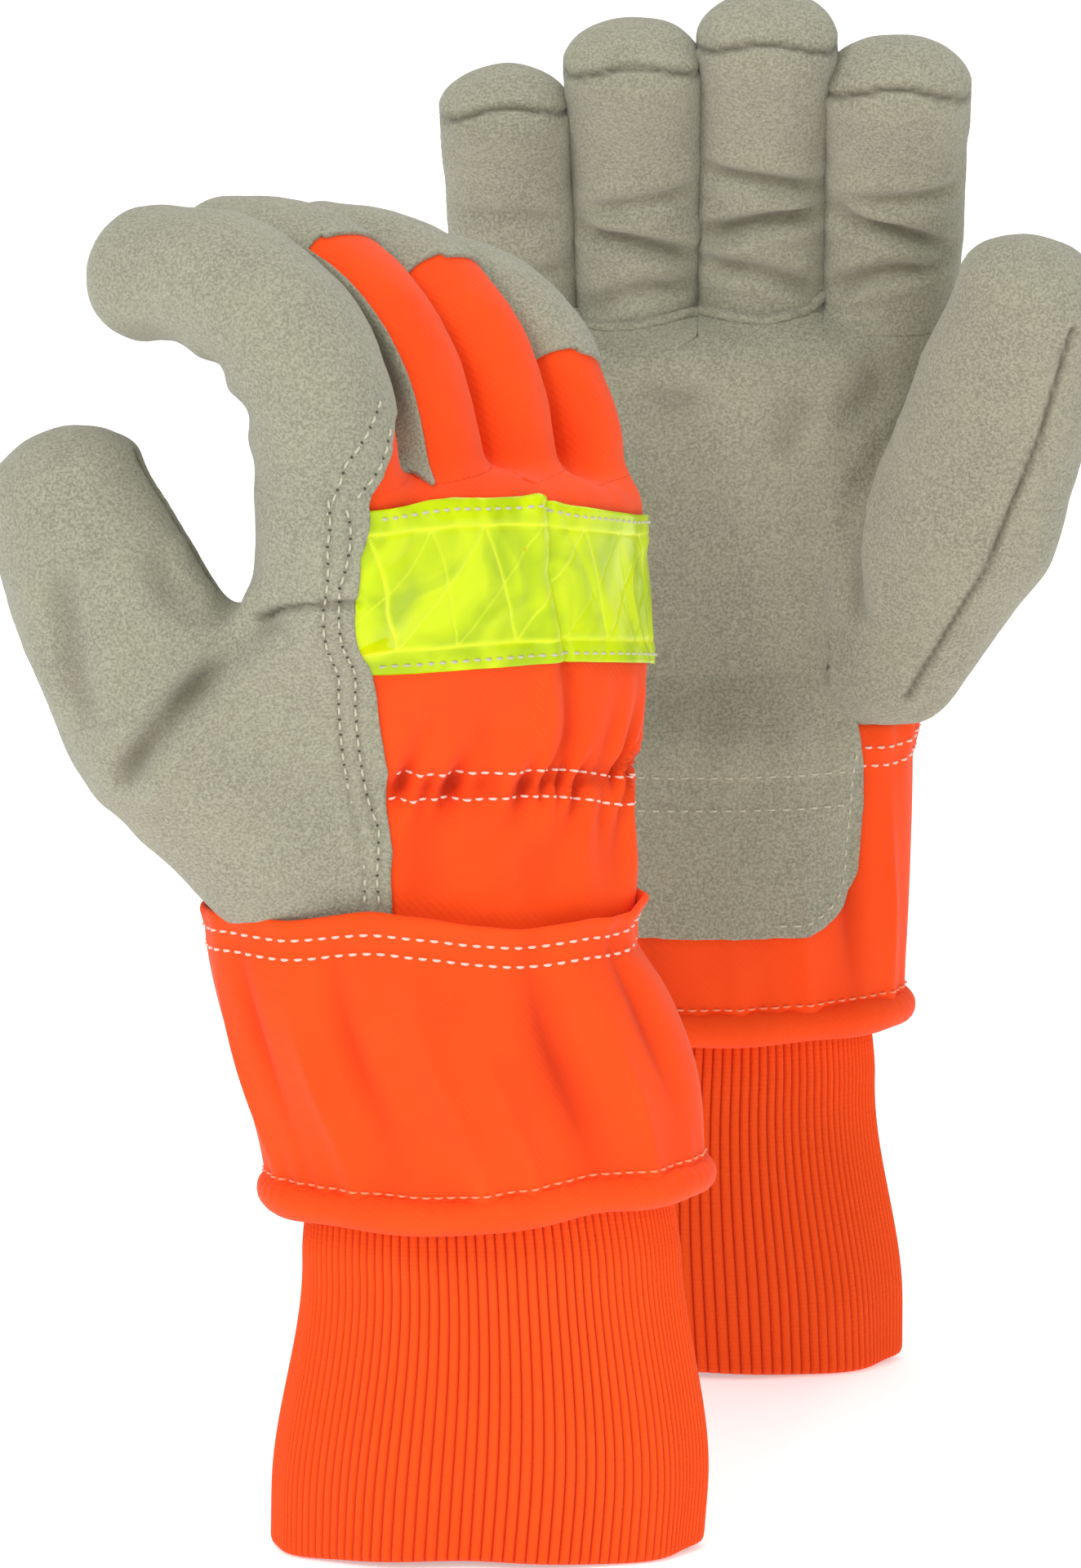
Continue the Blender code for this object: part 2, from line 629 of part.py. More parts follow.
def build_thumb(glove, hand, pose, hand_hinge):
    """The thumb, on the side of its mound."""
    height = LIP_HEIGHT + THUMB_HINGE_HEIGHT
    middle_angle = (THUMB_HOLE_START + THUMB_HOLE_END) / 2 - 360.0
    spot = hand.point(height, middle_angle) + Vector(pose["thumb_offset"])
    hinge = hinge_empty(f"{glove}_thumb_hinge", spot, hand_hinge)
    stall = Stall(spot, pose["thumb_heading"], pose["thumb_palm_side"], THUMB_WIDTH,
                  THUMB_THICKNESS, THUMB_LENGTH, pose["thumb_curl"])
    build_leather_stall(f"{glove}_thumb", stall, THUMB_CLEARANCE, hinge)


def build_glove(glove):
    """One glove, hung from an empty at the middle of its knit wrist."""
    pose = GLOVES[glove]
    root = hinge_empty(f"{glove}_cuff_place", (*pose["place"], 0.0))
    sleeve = Sleeve(pose)
    build_knit(glove, sleeve, root)
    build_cuff(glove, sleeve, root)
    build_hem_roll(glove, sleeve, root)
    palm_turn = 90.0 if pose["wrist_turn"] < 90.0 else 270.0
    build_pulse_patch(glove, sleeve, root, palm_turn)
    hand = Hand(pose)
    wrist = hand.middle_at(LIP_HEIGHT)
    wrist.z = WRIST_HINGE_HEIGHT
    hand_hinge = hinge_empty(f"{glove}_wrist_hinge", wrist, root)
    build_hand(glove, hand, hand_hinge)
    build_fingers(glove, hand, pose, hand_hinge)
    build_thumb(glove, hand, pose, hand_hinge)
    return root


def centre_pair():
    """Move both gloves so that the pair stands over the origin."""
    bpy.context.view_layer.update()
    corners = [piece.matrix_world @ Vector(corner) for piece in bpy.data.objects
               if piece.type != "EMPTY" for corner in piece.bound_box]
    middle_x = (min(corner.x for corner in corners) + max(corner.x for corner in corners)) / 2
    middle_y = (min(corner.y for corner in corners) + max(corner.y for corner in corners)) / 2
    for thing in bpy.data.objects:
        if thing.parent is None:
            thing.location.x -= middle_x
            thing.location.y -= middle_y
    bpy.context.view_layer.update()


def build():
    clear_scene()
    for glove in GLOVES:
        build_glove(glove)
    centre_pair()


build()
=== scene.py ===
import json
import math

import bpy
import numpy as np
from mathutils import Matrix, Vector, noise


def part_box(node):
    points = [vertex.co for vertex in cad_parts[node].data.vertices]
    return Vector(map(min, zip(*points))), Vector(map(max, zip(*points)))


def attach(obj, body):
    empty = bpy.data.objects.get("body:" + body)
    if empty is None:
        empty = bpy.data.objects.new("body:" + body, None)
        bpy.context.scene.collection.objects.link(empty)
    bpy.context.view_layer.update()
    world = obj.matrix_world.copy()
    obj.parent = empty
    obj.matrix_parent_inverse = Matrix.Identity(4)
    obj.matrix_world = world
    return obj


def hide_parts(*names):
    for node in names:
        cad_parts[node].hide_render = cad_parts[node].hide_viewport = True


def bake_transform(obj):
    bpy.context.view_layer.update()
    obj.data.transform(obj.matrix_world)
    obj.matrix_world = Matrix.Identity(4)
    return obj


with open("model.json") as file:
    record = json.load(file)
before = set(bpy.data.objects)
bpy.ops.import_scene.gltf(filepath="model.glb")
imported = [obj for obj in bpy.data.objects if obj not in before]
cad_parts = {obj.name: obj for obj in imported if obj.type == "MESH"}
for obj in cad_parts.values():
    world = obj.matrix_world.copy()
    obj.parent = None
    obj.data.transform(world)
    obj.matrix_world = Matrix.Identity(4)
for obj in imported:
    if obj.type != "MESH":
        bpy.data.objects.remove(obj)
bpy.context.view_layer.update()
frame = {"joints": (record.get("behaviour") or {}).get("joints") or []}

# Knit wrist: a tube of 1x1 rib knit in orange acrylic, sewn inside the rolled hem. Each rib is a
# raised column of stitches 1.9 mm wide with a narrow valley beside it, painted dark as shade; the
# lower edge is the turned start of the knit and waves a little.
MM = 0.001


def make_piece(name, verts, faces, material, thickness=0.0):
    """A mesh object from points in millimetres; a thickness is added on its inner side."""
    data = bpy.data.meshes.new(name)
    data.from_pydata((np.asarray(verts) * MM).tolist(), [], [list(map(int, f)) for f in faces])
    data.validate()
    data.update()
    data.shade_smooth()
    data.materials.append(material)
    piece = bpy.data.objects.new(name, data)
    bpy.context.collection.objects.link(piece)
    if thickness:
        solid = piece.modifiers.new("thickness", "SOLIDIFY")
        solid.thickness = thickness * MM
        solid.offset = -1.0
        solid.use_even_offset = False
    return piece


def linear(hex_colour):
    """A colour from its sRGB hex value."""
    parts = [int(hex_colour[i:i + 2], 16) / 255 for i in (1, 3, 5)]
    return tuple(part / 12.92 if part <= 0.04045 else ((part + 0.055) / 1.055) ** 2.4
                 for part in parts) + (1.0,)


def new_material(name, colour, roughness, **sockets):
    """A material with one shader; the sockets are set by their names."""
    material = bpy.data.materials.new(name)
    material.use_nodes = True
    tree = material.node_tree
    shader = tree.nodes["Principled BSDF"]
    shader.inputs["Base Color"].default_value = linear(colour)
    shader.inputs["Roughness"].default_value = roughness
    for socket, value in sockets.items():
        shader.inputs[socket.replace("_", " ")].default_value = value
    return material, tree, shader


def add_node(tree, kind, settings=None, links=None):
    """Add a node, set its settings and plug in its links."""
    node = tree.nodes.new(kind)
    for key, value in (settings or {}).items():
        if key in node.inputs:
            node.inputs[key].default_value = value
        else:
            setattr(node, key, value)
    for key, source in (links or {}).items():
        tree.links.new(source, node.inputs[key])
    return node


def mix_colours(tree, factor, first, second):
    """Mix two colours; the first is a hex value or the output of another node."""
    mix = add_node(tree, "ShaderNodeMix", {"data_type": "RGBA"}, {"Factor": factor})
    if isinstance(first, str):
        mix.inputs[6].default_value = linear(first)
    else:
        tree.links.new(first, mix.inputs[6])
    mix.inputs[7].default_value = linear(second)
    return mix.outputs[2]


def add_bump(tree, height, strength, distance, under=None):
    """Raise the surface by a node's value, on top of another bump where there is one."""
    links = {"Height": height.outputs["Fac"]}
    if under is not None:
        links["Normal"] = under
    return add_node(tree, "ShaderNodeBump", {"Strength": strength, "Distance": distance},
                    links).outputs["Normal"]


def mark_points(piece, name, values):
    """Keep a value from 0 to 1 at each point, which the material reads by its name."""
    mark = piece.data.attributes.new(name, "FLOAT", "POINT")
    mark.data.foreach_set("value", np.clip(values, 0.0, 1.0).astype(np.float32))


def marked(tree, name):
    """The value kept at each point under a name."""
    return add_node(tree, "ShaderNodeAttribute", {"attribute_name": name}).outputs["Fac"]


def ease(share):
    """A share from 0 to 1 that starts and ends gently."""
    share = np.clip(share, 0.0, 1.0)
    return share * share * (3.0 - 2.0 * share)


def closed_rows(rows, columns, closed=True):
    """Faces of a grid of points, row after row; it closes into a tube unless told not to."""
    faces = []
    for row in range(rows - 1):
        for column in range(columns if closed else columns - 1):
            following = (column + 1) % columns
            faces.append((row * columns + column, row * columns + following,
                          (row + 1) * columns + following, (row + 1) * columns + column))
    return faces


def curve_through(keys, values, place):
    """A smooth curve through a few chosen values."""
    place = np.asarray(place, float)
    result = np.full(place.shape, float(values[0]))
    for low, high, first, last in zip(keys, keys[1:], values, values[1:]):
        result = np.where(place > low, first + (last - first)
                          * ease((place - low) / (high - low)), result)
    return result


def drift(points, size, seed):
    """Smooth noise from -1 to 1 at each point; size is its grain in millimetres."""
    offset = Vector((seed * 17.3, seed * 5.1, seed * 9.7))
    return np.array([noise.noise(Vector(point) / size + offset) for point in points])


RIB_COUNT = 118
POINTS_PER_RIB = 8
RIB_RISE = {"outer wall": 0.85, "inner wall": 0.3}
KNIT_TOP = 92.0
KNIT_WALL = 2.3
WALL_ROWS = 60
RIM = ((1.6, 0.1), (0.7, 0.45), (0.25, 1.1), (0.6, 1.8), (1.6, 2.2), (4.0, 2.3))  # height, inset
KNIT_HALF_WIDTH = ((0, 16, 70, 92), (49.4, 49.8, 43.2, 41.2))
KNIT_HALF_DEPTH = ((0, 16, 70, 92), (19.2, 19.6, 15.8, 15.0))
KNIT_SWAY = {"near": 0.06, "far": -0.04}
KNIT_LEAN = {"near": 1.2, "far": -1.2}
cuff_centres = {}
for glove_name in ("near", "far"):
    low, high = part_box(f"{glove_name}_knit_wrist")
    cuff_centres[glove_name] = np.array(((low[0] + high[0]) / 2, (low[1] + high[1]) / 2)) / MM

knit, tree, shader = new_material("orange acrylic rib knit", "#FF4A14", 0.72,
                                  Sheen_Weight=0.08, Specular_IOR_Level=0.15)
# rows of small loops run across each rib, 1.1 mm apart, and show as fine steps
place = add_node(tree, "ShaderNodeTexCoord").outputs["Object"]
loops = add_node(tree, "ShaderNodeTexWave", {"bands_direction": "Z", "wave_profile": "SIN",
                                             "Scale": 2.0 * math.pi / 20.0 / 0.0011,
                                             "Distortion": 1.2, "Detail": 1.0,
                                             "Detail Scale": 900.0}, {"Vector": place})
fibres = add_node(tree, "ShaderNodeTexNoise", {"Scale": 2600.0, "Detail": 4.0},
                  {"Vector": place})
loop_bump = add_bump(tree, loops, 0.45, 0.0003)
tree.links.new(add_bump(tree, fibres, 0.35, 0.0002, loop_bump), shader.inputs["Normal"])
# painted shade: the valleys between the ribs are coloured a deeper red-orange
shade = mix_colours(tree, marked(tree, "valley"), "#FF5612", "#DC3000")
tree.links.new(shade, shader.inputs["Base Color"])

for glove_name, centre in cuff_centres.items():
    columns = RIB_COUNT * POINTS_PER_RIB
    turn = np.arange(columns) / columns * 2.0 * math.pi
    rim_heights, rim_insets = zip(*RIM)
    heights = np.concatenate([np.linspace(KNIT_TOP, 3.0, WALL_ROWS), rim_heights,
                              np.linspace(12.0, KNIT_TOP, 10)])
    insets = np.concatenate([np.zeros(WALL_ROWS), rim_insets, np.full(10, KNIT_WALL)])
    rib = np.arange(columns) % POINTS_PER_RIB / POINTS_PER_RIB
    ridge = np.sqrt(np.clip(1.0 - (2.0 * rib - 1.0) ** 2 * 1.02, 0.0, 1.0))
    points = []
    for row, (height, inset) in enumerate(zip(heights, insets)):
        share = height / KNIT_TOP
        half_width = float(curve_through(*KNIT_HALF_WIDTH, height))
        half_depth = float(curve_through(*KNIT_HALF_DEPTH, height))
        lean = KNIT_LEAN[glove_name] * math.sin(math.pi * share)
        outer = RIB_RISE["outer wall" if row < WALL_ROWS + 2 else "inner wall"] * ridge
        ripple = 0.8 * np.sin(turn * 5.0 + share * 1.5) + 0.6 * np.sin(turn * 9.0 + 1.0)
        reach = outer - inset + ripple * (0.5 + 0.5 * (1.0 - share))
        skew = turn + KNIT_SWAY[glove_name] * math.sin(share * 3.0) * 0.35
        rim_wave = 0.7 * (1.0 - share) * (1.0 + np.sin(turn * 3.0 + 0.6))
        points.append(np.stack([centre[0] + lean + (half_width + reach) * np.cos(skew),
                                centre[1] + (half_depth + reach) * np.sin(skew),
                                height + rim_wave], 1))
    piece = make_piece(f"{glove_name}_knit_wrist_ribs", np.vstack(points),
                       closed_rows(len(heights), columns), knit)
    # the valley mark is 1 between the ribs, where the painted shade goes
    mark_points(piece, "valley", np.tile(1.0 - ridge, len(heights)) ** 1.3)
    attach(piece, f"{glove_name}_cuff")
    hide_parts(f"{glove_name}_knit_wrist")


# Band cuff: a tube of orange polyester cloth, folded double at its lip and sewn to the hand with
# two rows of white thread. It is cut wider than the hem that gathers it, so soft upright folds
# run up from the hem. The cloth is a fine cross rib with a dull nylon sheen.
CUFF_START = 90.0
CUFF_TOP = 155.0
CUFF_HALF = (50.2, 23.4)
SHIFT_START = 83.0
ROLL_HALF = (49.0, 22.2)
ROLL_RADIUS = 4.5
ROLL_RISE = {"near": 88.2, "far": 88.4}
ROLL_SLANT = {"near": 1.9, "far": -0.6}
LIP_SHIFT = {"near": (-13.5, 0.0), "far": (1.0, 0.0)}
CUFF_FOLDS = {     # angle, height of its middle, how proud, half width in degrees, half height
    "near": ((268, 118, 1.7, 8, 26), (282, 108, 1.5, 6, 18), (300, 122, -1.6, 8, 24),
             (247, 126, -1.2, 7, 20), (232, 112, 1.4, 9, 22), (214, 128, -1.1, 8, 20),
             (318, 110, 1.6, 9, 22), (334, 130, -1.3, 8, 18), (196, 112, 1.0, 8, 20),
             (20, 118, 1.2, 9, 22), (48, 110, -1.0, 9, 22), (78, 120, 1.4, 10, 24),
             (110, 112, -1.2, 9, 20), (140, 122, 1.3, 9, 24), (165, 110, -0.8, 8, 18)),
    "far": ((300, 112, 1.3, 8, 22), (318, 122, -1.4, 8, 24), (336, 116, 1.2, 7, 22),
            (280, 104, 1.0, 9, 14), (258, 106, -0.8, 9, 16), (236, 112, 1.1, 9, 20),
            (214, 118, -1.1, 8, 24), (196, 112, 0.9, 8, 20), (20, 118, 1.2, 9, 22),
            (52, 110, -1.0, 9, 22), (84, 120, 1.4, 10, 24), (118, 112, -1.2, 9, 20),
            (150, 122, 1.3, 9, 24)),
}


def cuff_fold(name, angle, height):
    """How far the cuff's upright folds stand out or in."""
    folds = np.zeros(np.broadcast(angle, height).shape)
    for middle, level, proud, width, tall in CUFF_FOLDS[name]:
        away = (angle - middle + 3.0 * np.sin(height / 17.0) + 180.0) % 360.0 - 180.0
        sharp = np.exp(-np.abs(away / width * 1.7) ** 1.4)
        folds = folds + proud * sharp * np.exp(-((height - level) / tall) ** 2)
    return 1.8 * folds


def cuff_points(name, angle, height, lift=0.0):
    """Points on the outside of the cuff, from their angle in degrees and height."""
    angle = np.asarray(angle, float)
    height = np.asarray(height, float)
    centre = cuff_centres[name]
    share = np.clip((height - SHIFT_START) / (CUFF_TOP - SHIFT_START), 0.0, 1.0)
    shift_share = ease(share)
    turn = np.radians(angle)
    bulge = 1.4 * np.sin(math.pi * share) + 1.2 * shift_share ** 4
    flare = 1.6 * np.clip((height - 150.0) / 6.0, 0.0, 1.0)
    folds = cuff_fold(name, angle, height)
    hem_pucker = 0.5 * np.sin(turn * 26.0 + 2.0 * np.sin(turn * 5.0)) \
        * np.exp(-(height - CUFF_START) / 7)
    lip_pucker = 0.35 * np.sin(turn * 22.0 + 1.0) * np.exp((height - CUFF_TOP) / 9.0)
    out = bulge + flare + folds + hem_pucker + lip_pucker + lift
    across = (CUFF_HALF[0] + out) * np.cos(turn)
    if name == "near":
        side = np.clip(np.cos(turn), 0.0, 1.0) ** 2
        across = across + side * 3.4 * np.exp(-((height - 118.0) / 20.0) ** 2)
        across = across - side * 4.4 * np.exp(-((height - 148.0) / 9.0) ** 2)
    depth = (CUFF_HALF[1] + out) * np.sin(turn)
    return np.stack([centre[0] + LIP_SHIFT[name][0] * shift_share + across,
                     centre[1] + LIP_SHIFT[name][1] * shift_share + depth,
                     height + np.zeros_like(across)], -1)


def lip_wave(name, angle):
    """How much the lip rises and falls round the cuff."""
    turn = np.radians(angle)
    wave = 0.9 * np.sin(turn * 3.0 + 0.4) + 0.6 * np.sin(turn * 7.0 + 1.1)
    if name == "near":
        wave = wave + 1.6 * np.exp(-(((angle % 360.0) - 252.0) / 16.0) ** 2)
        wave = wave - 1.4 * np.exp(-(((angle % 360.0) - 300.0) / 14.0) ** 2)
    else:
        wave = wave + 3.0 * (1.0 + np.sin(np.clip((np.cos(turn) + 0.1) / 0.8, -1.0, 1.0)
                                          * math.pi / 2.0))
    return wave


cloth, tree, shader = new_material("orange polyester cross-rib cloth", "#FF4A0C", 0.7,
                                   Sheen_Weight=0.08, Specular_IOR_Level=0.18)
# the cross rib: ridges 1.1 mm apart, and a slight unevenness of the dye over 25 mm
place = add_node(tree, "ShaderNodeTexCoord").outputs["Object"]
ribs = add_node(tree, "ShaderNodeTexWave", {"bands_direction": "DIAGONAL", "wave_profile": "SIN",
                                            "Scale": 2.0 * math.pi / 20.0 / 0.0011,
                                            "Distortion": 0.6, "Detail": 1.0,
                                            "Detail Scale": 300.0}, {"Vector": place})
threads = add_node(tree, "ShaderNodeTexNoise", {"Scale": 1800.0, "Detail": 5.0},
                   {"Vector": place})
rib_bump = add_bump(tree, ribs, 0.28, 0.0003)
tree.links.new(add_bump(tree, threads, 0.3, 0.00015, rib_bump), shader.inputs["Normal"])
dye = add_node(tree, "ShaderNodeTexNoise", {"Scale": 40.0, "Detail": 3.0}, {"Vector": place})
shade = mix_colours(tree, dye.outputs["Fac"], "#F94408", "#FF5410")
# painted shade and bounce light: the hollows of the folds are coloured a deeper red-orange
painted_fold_shade = mix_colours(tree, marked(tree, "hollow"), shade, "#C42A00")
tree.links.new(painted_fold_shade, shader.inputs["Base Color"])

for glove_name in cuff_centres:
    columns = 360
    angle = np.arange(columns) * 360.0 / columns
    wave = lip_wave(glove_name, angle)
    rows = []
    # depths: the hollow mark, painted shade in the inward folds and along the puckered hem
    depths = []
    for height in np.linspace(CUFF_START - 3.0, CUFF_TOP, 74):
        level = height + wave * np.clip((height - 128.0) / 27.0, 0.0, 1.0)
        rows.append(cuff_points(glove_name, angle, level))
        pucker = 0.35 * math.exp(-(height - CUFF_START) / 4.0)
        depths.append(pucker - cuff_fold(glove_name, angle, level) / 3.8)
    depths += [np.zeros(columns)] * 5
    for rise, inset in ((0.9, -0.4), (1.3, -1.0), (0.9, -1.7), (-0.6, -2.0), (-14.0, -2.2)):
        rows.append(cuff_points(glove_name, angle, CUFF_TOP + rise + wave, inset))
    piece = make_piece(f"{glove_name}_cuff_fabric_folds", np.vstack(rows),
                       closed_rows(len(rows), columns), cloth)
    mark_points(piece, "hollow", np.concatenate(depths))
    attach(piece, f"{glove_name}_cuff")
    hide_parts(f"{glove_name}_cuff_fabric")


# Rolled hem: the cuff's lower edge turned over a cord of its own cloth and sewn down, a soft ring
# 9 mm thick. The cloth pulls into small slanting creases round it and it waves as it goes.
def roll_middle(name, angle):
    """The middle line of the rolled hem."""
    turn = np.radians(angle)
    centre = cuff_centres[name]
    height = ROLL_RISE[name] + ROLL_SLANT[name] * np.cos(turn) + 0.8 * np.sin(turn * 2.0 + 2.2)
    if name == "near":
        height = height - 1.6 * np.exp(-((angle - 262.0) / 22.0) ** 2)
        height = height + 1.0 * np.exp(-((angle - 300.0) / 12.0) ** 2)
    return np.stack([centre[0] + ROLL_HALF[0] * np.cos(turn),
                     centre[1] + ROLL_HALF[1] * np.sin(turn), height], -1)


for glove_name in cuff_centres:
    columns = 420
    round_count = 22
    angle = np.arange(columns) * 360.0 / columns
    middle = roll_middle(glove_name, angle)
    ahead = roll_middle(glove_name, angle + 0.5) - roll_middle(glove_name, angle - 0.5)
    ahead /= np.linalg.norm(ahead, axis=1)[:, None]
    outward = np.cross(ahead, (0.0, 0.0, 1.0))
    outward /= np.linalg.norm(outward, axis=1)[:, None]
    upward = np.cross(outward, ahead)
    rows = []
    for step in range(round_count):
        roll = step / round_count * 2.0 * math.pi
        reach = ROLL_RADIUS + 0.25 * np.sin(np.radians(angle) * 9.0 + 1.0) \
            + 0.16 * np.sin(np.radians(angle) * 64.0 + roll * 1.5) * (1.0 + math.sin(roll)) / 2
        rows.append(middle + (outward * math.cos(roll) + upward * math.sin(roll))
                    * reach[:, None])
    verts = np.stack(rows, 1).reshape(-1, 3)
    faces = []
    for column in range(columns):
        for step in range(round_count):
            after = (column + 1) % columns
            over = (step + 1) % round_count
            faces.append((column * round_count + step, after * round_count + step,
                          after * round_count + over, column * round_count + over))
    piece = make_piece(f"{glove_name}_cuff_hem_roll_turned", verts, faces, cloth)
    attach(piece, f"{glove_name}_cuff")
    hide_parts(f"{glove_name}_cuff_hem_roll")


# Thread: polyester sewing thread 0.7 mm thick in lockstitch, about 3 mm a stitch. Each stitch
# lies on the surface and dips into its needle holes. White on the cloth, grey-beige on leather.
def sewing_thread(name, colour):
    """A twisted polyester thread; its ply shows as fine slanting lines."""
    thread, tree, shader = new_material(name, colour, 0.55, Specular_IOR_Level=0.35,
                                        Sheen_Weight=0.2)
    place = add_node(tree, "ShaderNodeTexCoord").outputs["Object"]
    ply = add_node(tree, "ShaderNodeTexNoise", {"Scale": 2400.0, "Detail": 2.0},
                   {"Vector": place})
    tree.links.new(add_bump(tree, ply, 0.5, 0.0002), shader.inputs["Normal"])
    return thread


white_thread = sewing_thread("white polyester thread", "#F6CDBD")
beige_thread = sewing_thread("grey-beige polyester thread", "#C4C0A8")
orange_thread = sewing_thread("pale orange polyester thread", "#FF9468")
# needle holes are dark sunk beads: painted shade for the inside of each hole
painted_hole_shade, _, _ = new_material("painted shade of needle holes in leather", "#4E4A40", 0.95)


def unit(vector):
    """The same direction with a length of one."""
    vector = np.asarray(vector, float)
    return vector / np.linalg.norm(vector)


def sew(line, outward, pitch=3.1, length=2.4, radius=0.38, sides=6):
    """Stitches along a line of points: their corners and faces."""
    steps = np.linalg.norm(np.diff(line, axis=0), axis=1)
    travel = np.concatenate([[0.0], np.cumsum(steps)])
    count = max(int(travel[-1] / pitch), 1)
    verts, faces = [], []
    for number in range(count):
        middle = (number + 0.5) * travel[-1] / count
        places = middle + np.linspace(-0.5, 0.5, 5) * length
        path = np.stack([np.interp(places, travel, line[:, k]) for k in range(3)], 1)
        out = unit([np.interp(middle, travel, outward[:, k]) for k in range(3)])
        ahead = unit(path[-1] - path[0])
        side = unit(np.cross(ahead, out))
        start = len(verts)
        for ring, (sink, girth) in enumerate(((-0.45, 0.35), (0.06, 0.85), (0.2, 1.0),
                                              (0.06, 0.85), (-0.45, 0.35))):
            for corner in range(sides):
                turn = 2.0 * math.pi * corner / sides
                verts.append(path[ring] + out * (sink + radius * girth * math.cos(turn))
                             + side * radius * girth * math.sin(turn))
        faces += [tuple(start + corner for corner in face) for face in closed_rows(5, sides)]
        faces.append(tuple(start + corner for corner in range(sides - 1, -1, -1)))
        faces.append(tuple(start + 4 * sides + corner for corner in range(sides)))
    return verts, faces


def needle_holes(line, outward, pitch):
    """The same row moved on by half a stitch and sunk a little, for the holes between, drawn as
    painted shade.
    """
    steps = np.linalg.norm(np.diff(line, axis=0), axis=1)
    travel = np.concatenate([[0.0], np.cumsum(steps)])
    count = max(int(travel[-1] / pitch), 1)
    half = travel[-1] / count / 2.0
    places = np.linspace(half, travel[-1] - half, len(line))
    moved = [np.stack([np.interp(places, travel, values[:, k]) for k in range(3)], 1)
             for values in (line, outward)]
    return moved[0] - moved[1] * 0.28, moved[1]


def sew_rows(name, rows, thread, **stitch):
    """One object of stitches along several rows of (points, outward directions)."""
    verts, faces = [], []
    for line, outward in rows:
        more, sides = sew(np.asarray(line), np.asarray(outward), **stitch)
        faces += [tuple(corner + len(verts) for corner in face) for face in sides]
        verts += more
    return make_piece(name, verts, faces, thread)


for glove_name in cuff_centres:
    angle = np.linspace(0.0, 360.0, 241)
    turn = np.radians(angle)
    outward = np.stack([np.cos(turn) / 2.0, np.sin(turn), np.zeros_like(turn)], 1)
    rows = []
    for drop in (3.6, 8.2):
        rows.append((cuff_points(glove_name, angle, CUFF_TOP - drop
                                 + lip_wave(glove_name, angle) * 0.8, 0.1), outward))
    scallop = roll_middle(glove_name, angle)
    edge = cuff_points(glove_name, angle, scallop[:, 2] + 5.2, 0.25)
    piece = sew_rows(f"{glove_name}_cuff_stitches", rows, white_thread, pitch=3.3)
    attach(piece, f"{glove_name}_cuff")
    piece = sew_rows(f"{glove_name}_hem_stitches", [(edge, outward)], orange_thread, pitch=2.9,
                     length=2.3, radius=0.3)
    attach(piece, f"{glove_name}_cuff")


# Leather hand: 1.4 mm split cowhide, napped on both sides. Palm, little-finger side and the
# saddle between thumb and index are sewn into one shell that wraps round the orange back. The
# raw edge of the saddle lies on top of the cloth and is held by two rows of thread.
FINGERS = ("index", "middle", "ring", "little")
STALL_SIZES = {                 # width, thickness, length from knuckle hinge to tip
    "near": {"index": (32.5, 32.0, 98.0), "middle": (29.0, 28.0, 101.0),
             "ring": (28.0, 27.0, 96.0), "little": (26.0, 25.0, 86.0),
             "thumb": (43.0, 35.0, 75.0)},
    "far": {"index": (33.5, 28.0, 84.5), "middle": (32.0, 28.0, 96.0),
            "ring": (31.0, 27.0, 91.5), "little": (29.0, 25.0, 81.0),
            "thumb": (40.0, 33.0, 73.0)},
}
LIP_HEIGHT = 155.0
KNUCKLE_RISE = 94.0
SIDE_SEAM = 186.0
POSES = {
    "near": {
        "curls": {"index": (0, 100), "middle": (6, 98), "ring": (6, 94), "little": (8, 90)},
        "thumb": (-0.44, 0.04, 0.89), "thumb_curl": 16.0, "thumb_heel": (17.0, 5.0, -24.0),
        "wrist_turn": 4.0, "knuckle_turn": 47.0, "slope": 0.10,
    },
    "far": {
        "curls": {"index": (5, 38), "middle": (5, 36), "ring": (5, 36), "little": (5, 32)},
        "thumb": (0.28, -0.12, 0.95), "thumb_curl": 12.0, "thumb_heel": (-17.0, 13.0, -37.0),
        "wrist_turn": 180.0, "knuckle_turn": 180.0, "slope": 0.0,
    },
}


def ellipse_distance(across, outward, half_width, half_depth):
    """Roughly how far a point lies outside an ellipse."""
    near = np.hypot(across / half_width, outward / half_depth) + 1e-6
    slope = np.hypot(across / half_width ** 2, outward / half_depth ** 2) + 1e-9
    return near * (near - 1.0) / slope


def soft_union(first, second, radius):
    """Two solids joined with a fillet."""
    share = np.clip(0.5 + 0.5 * (second - first) / radius, 0.0, 1.0)
    return second + (first - second) * share - radius * share * (1.0 - share)


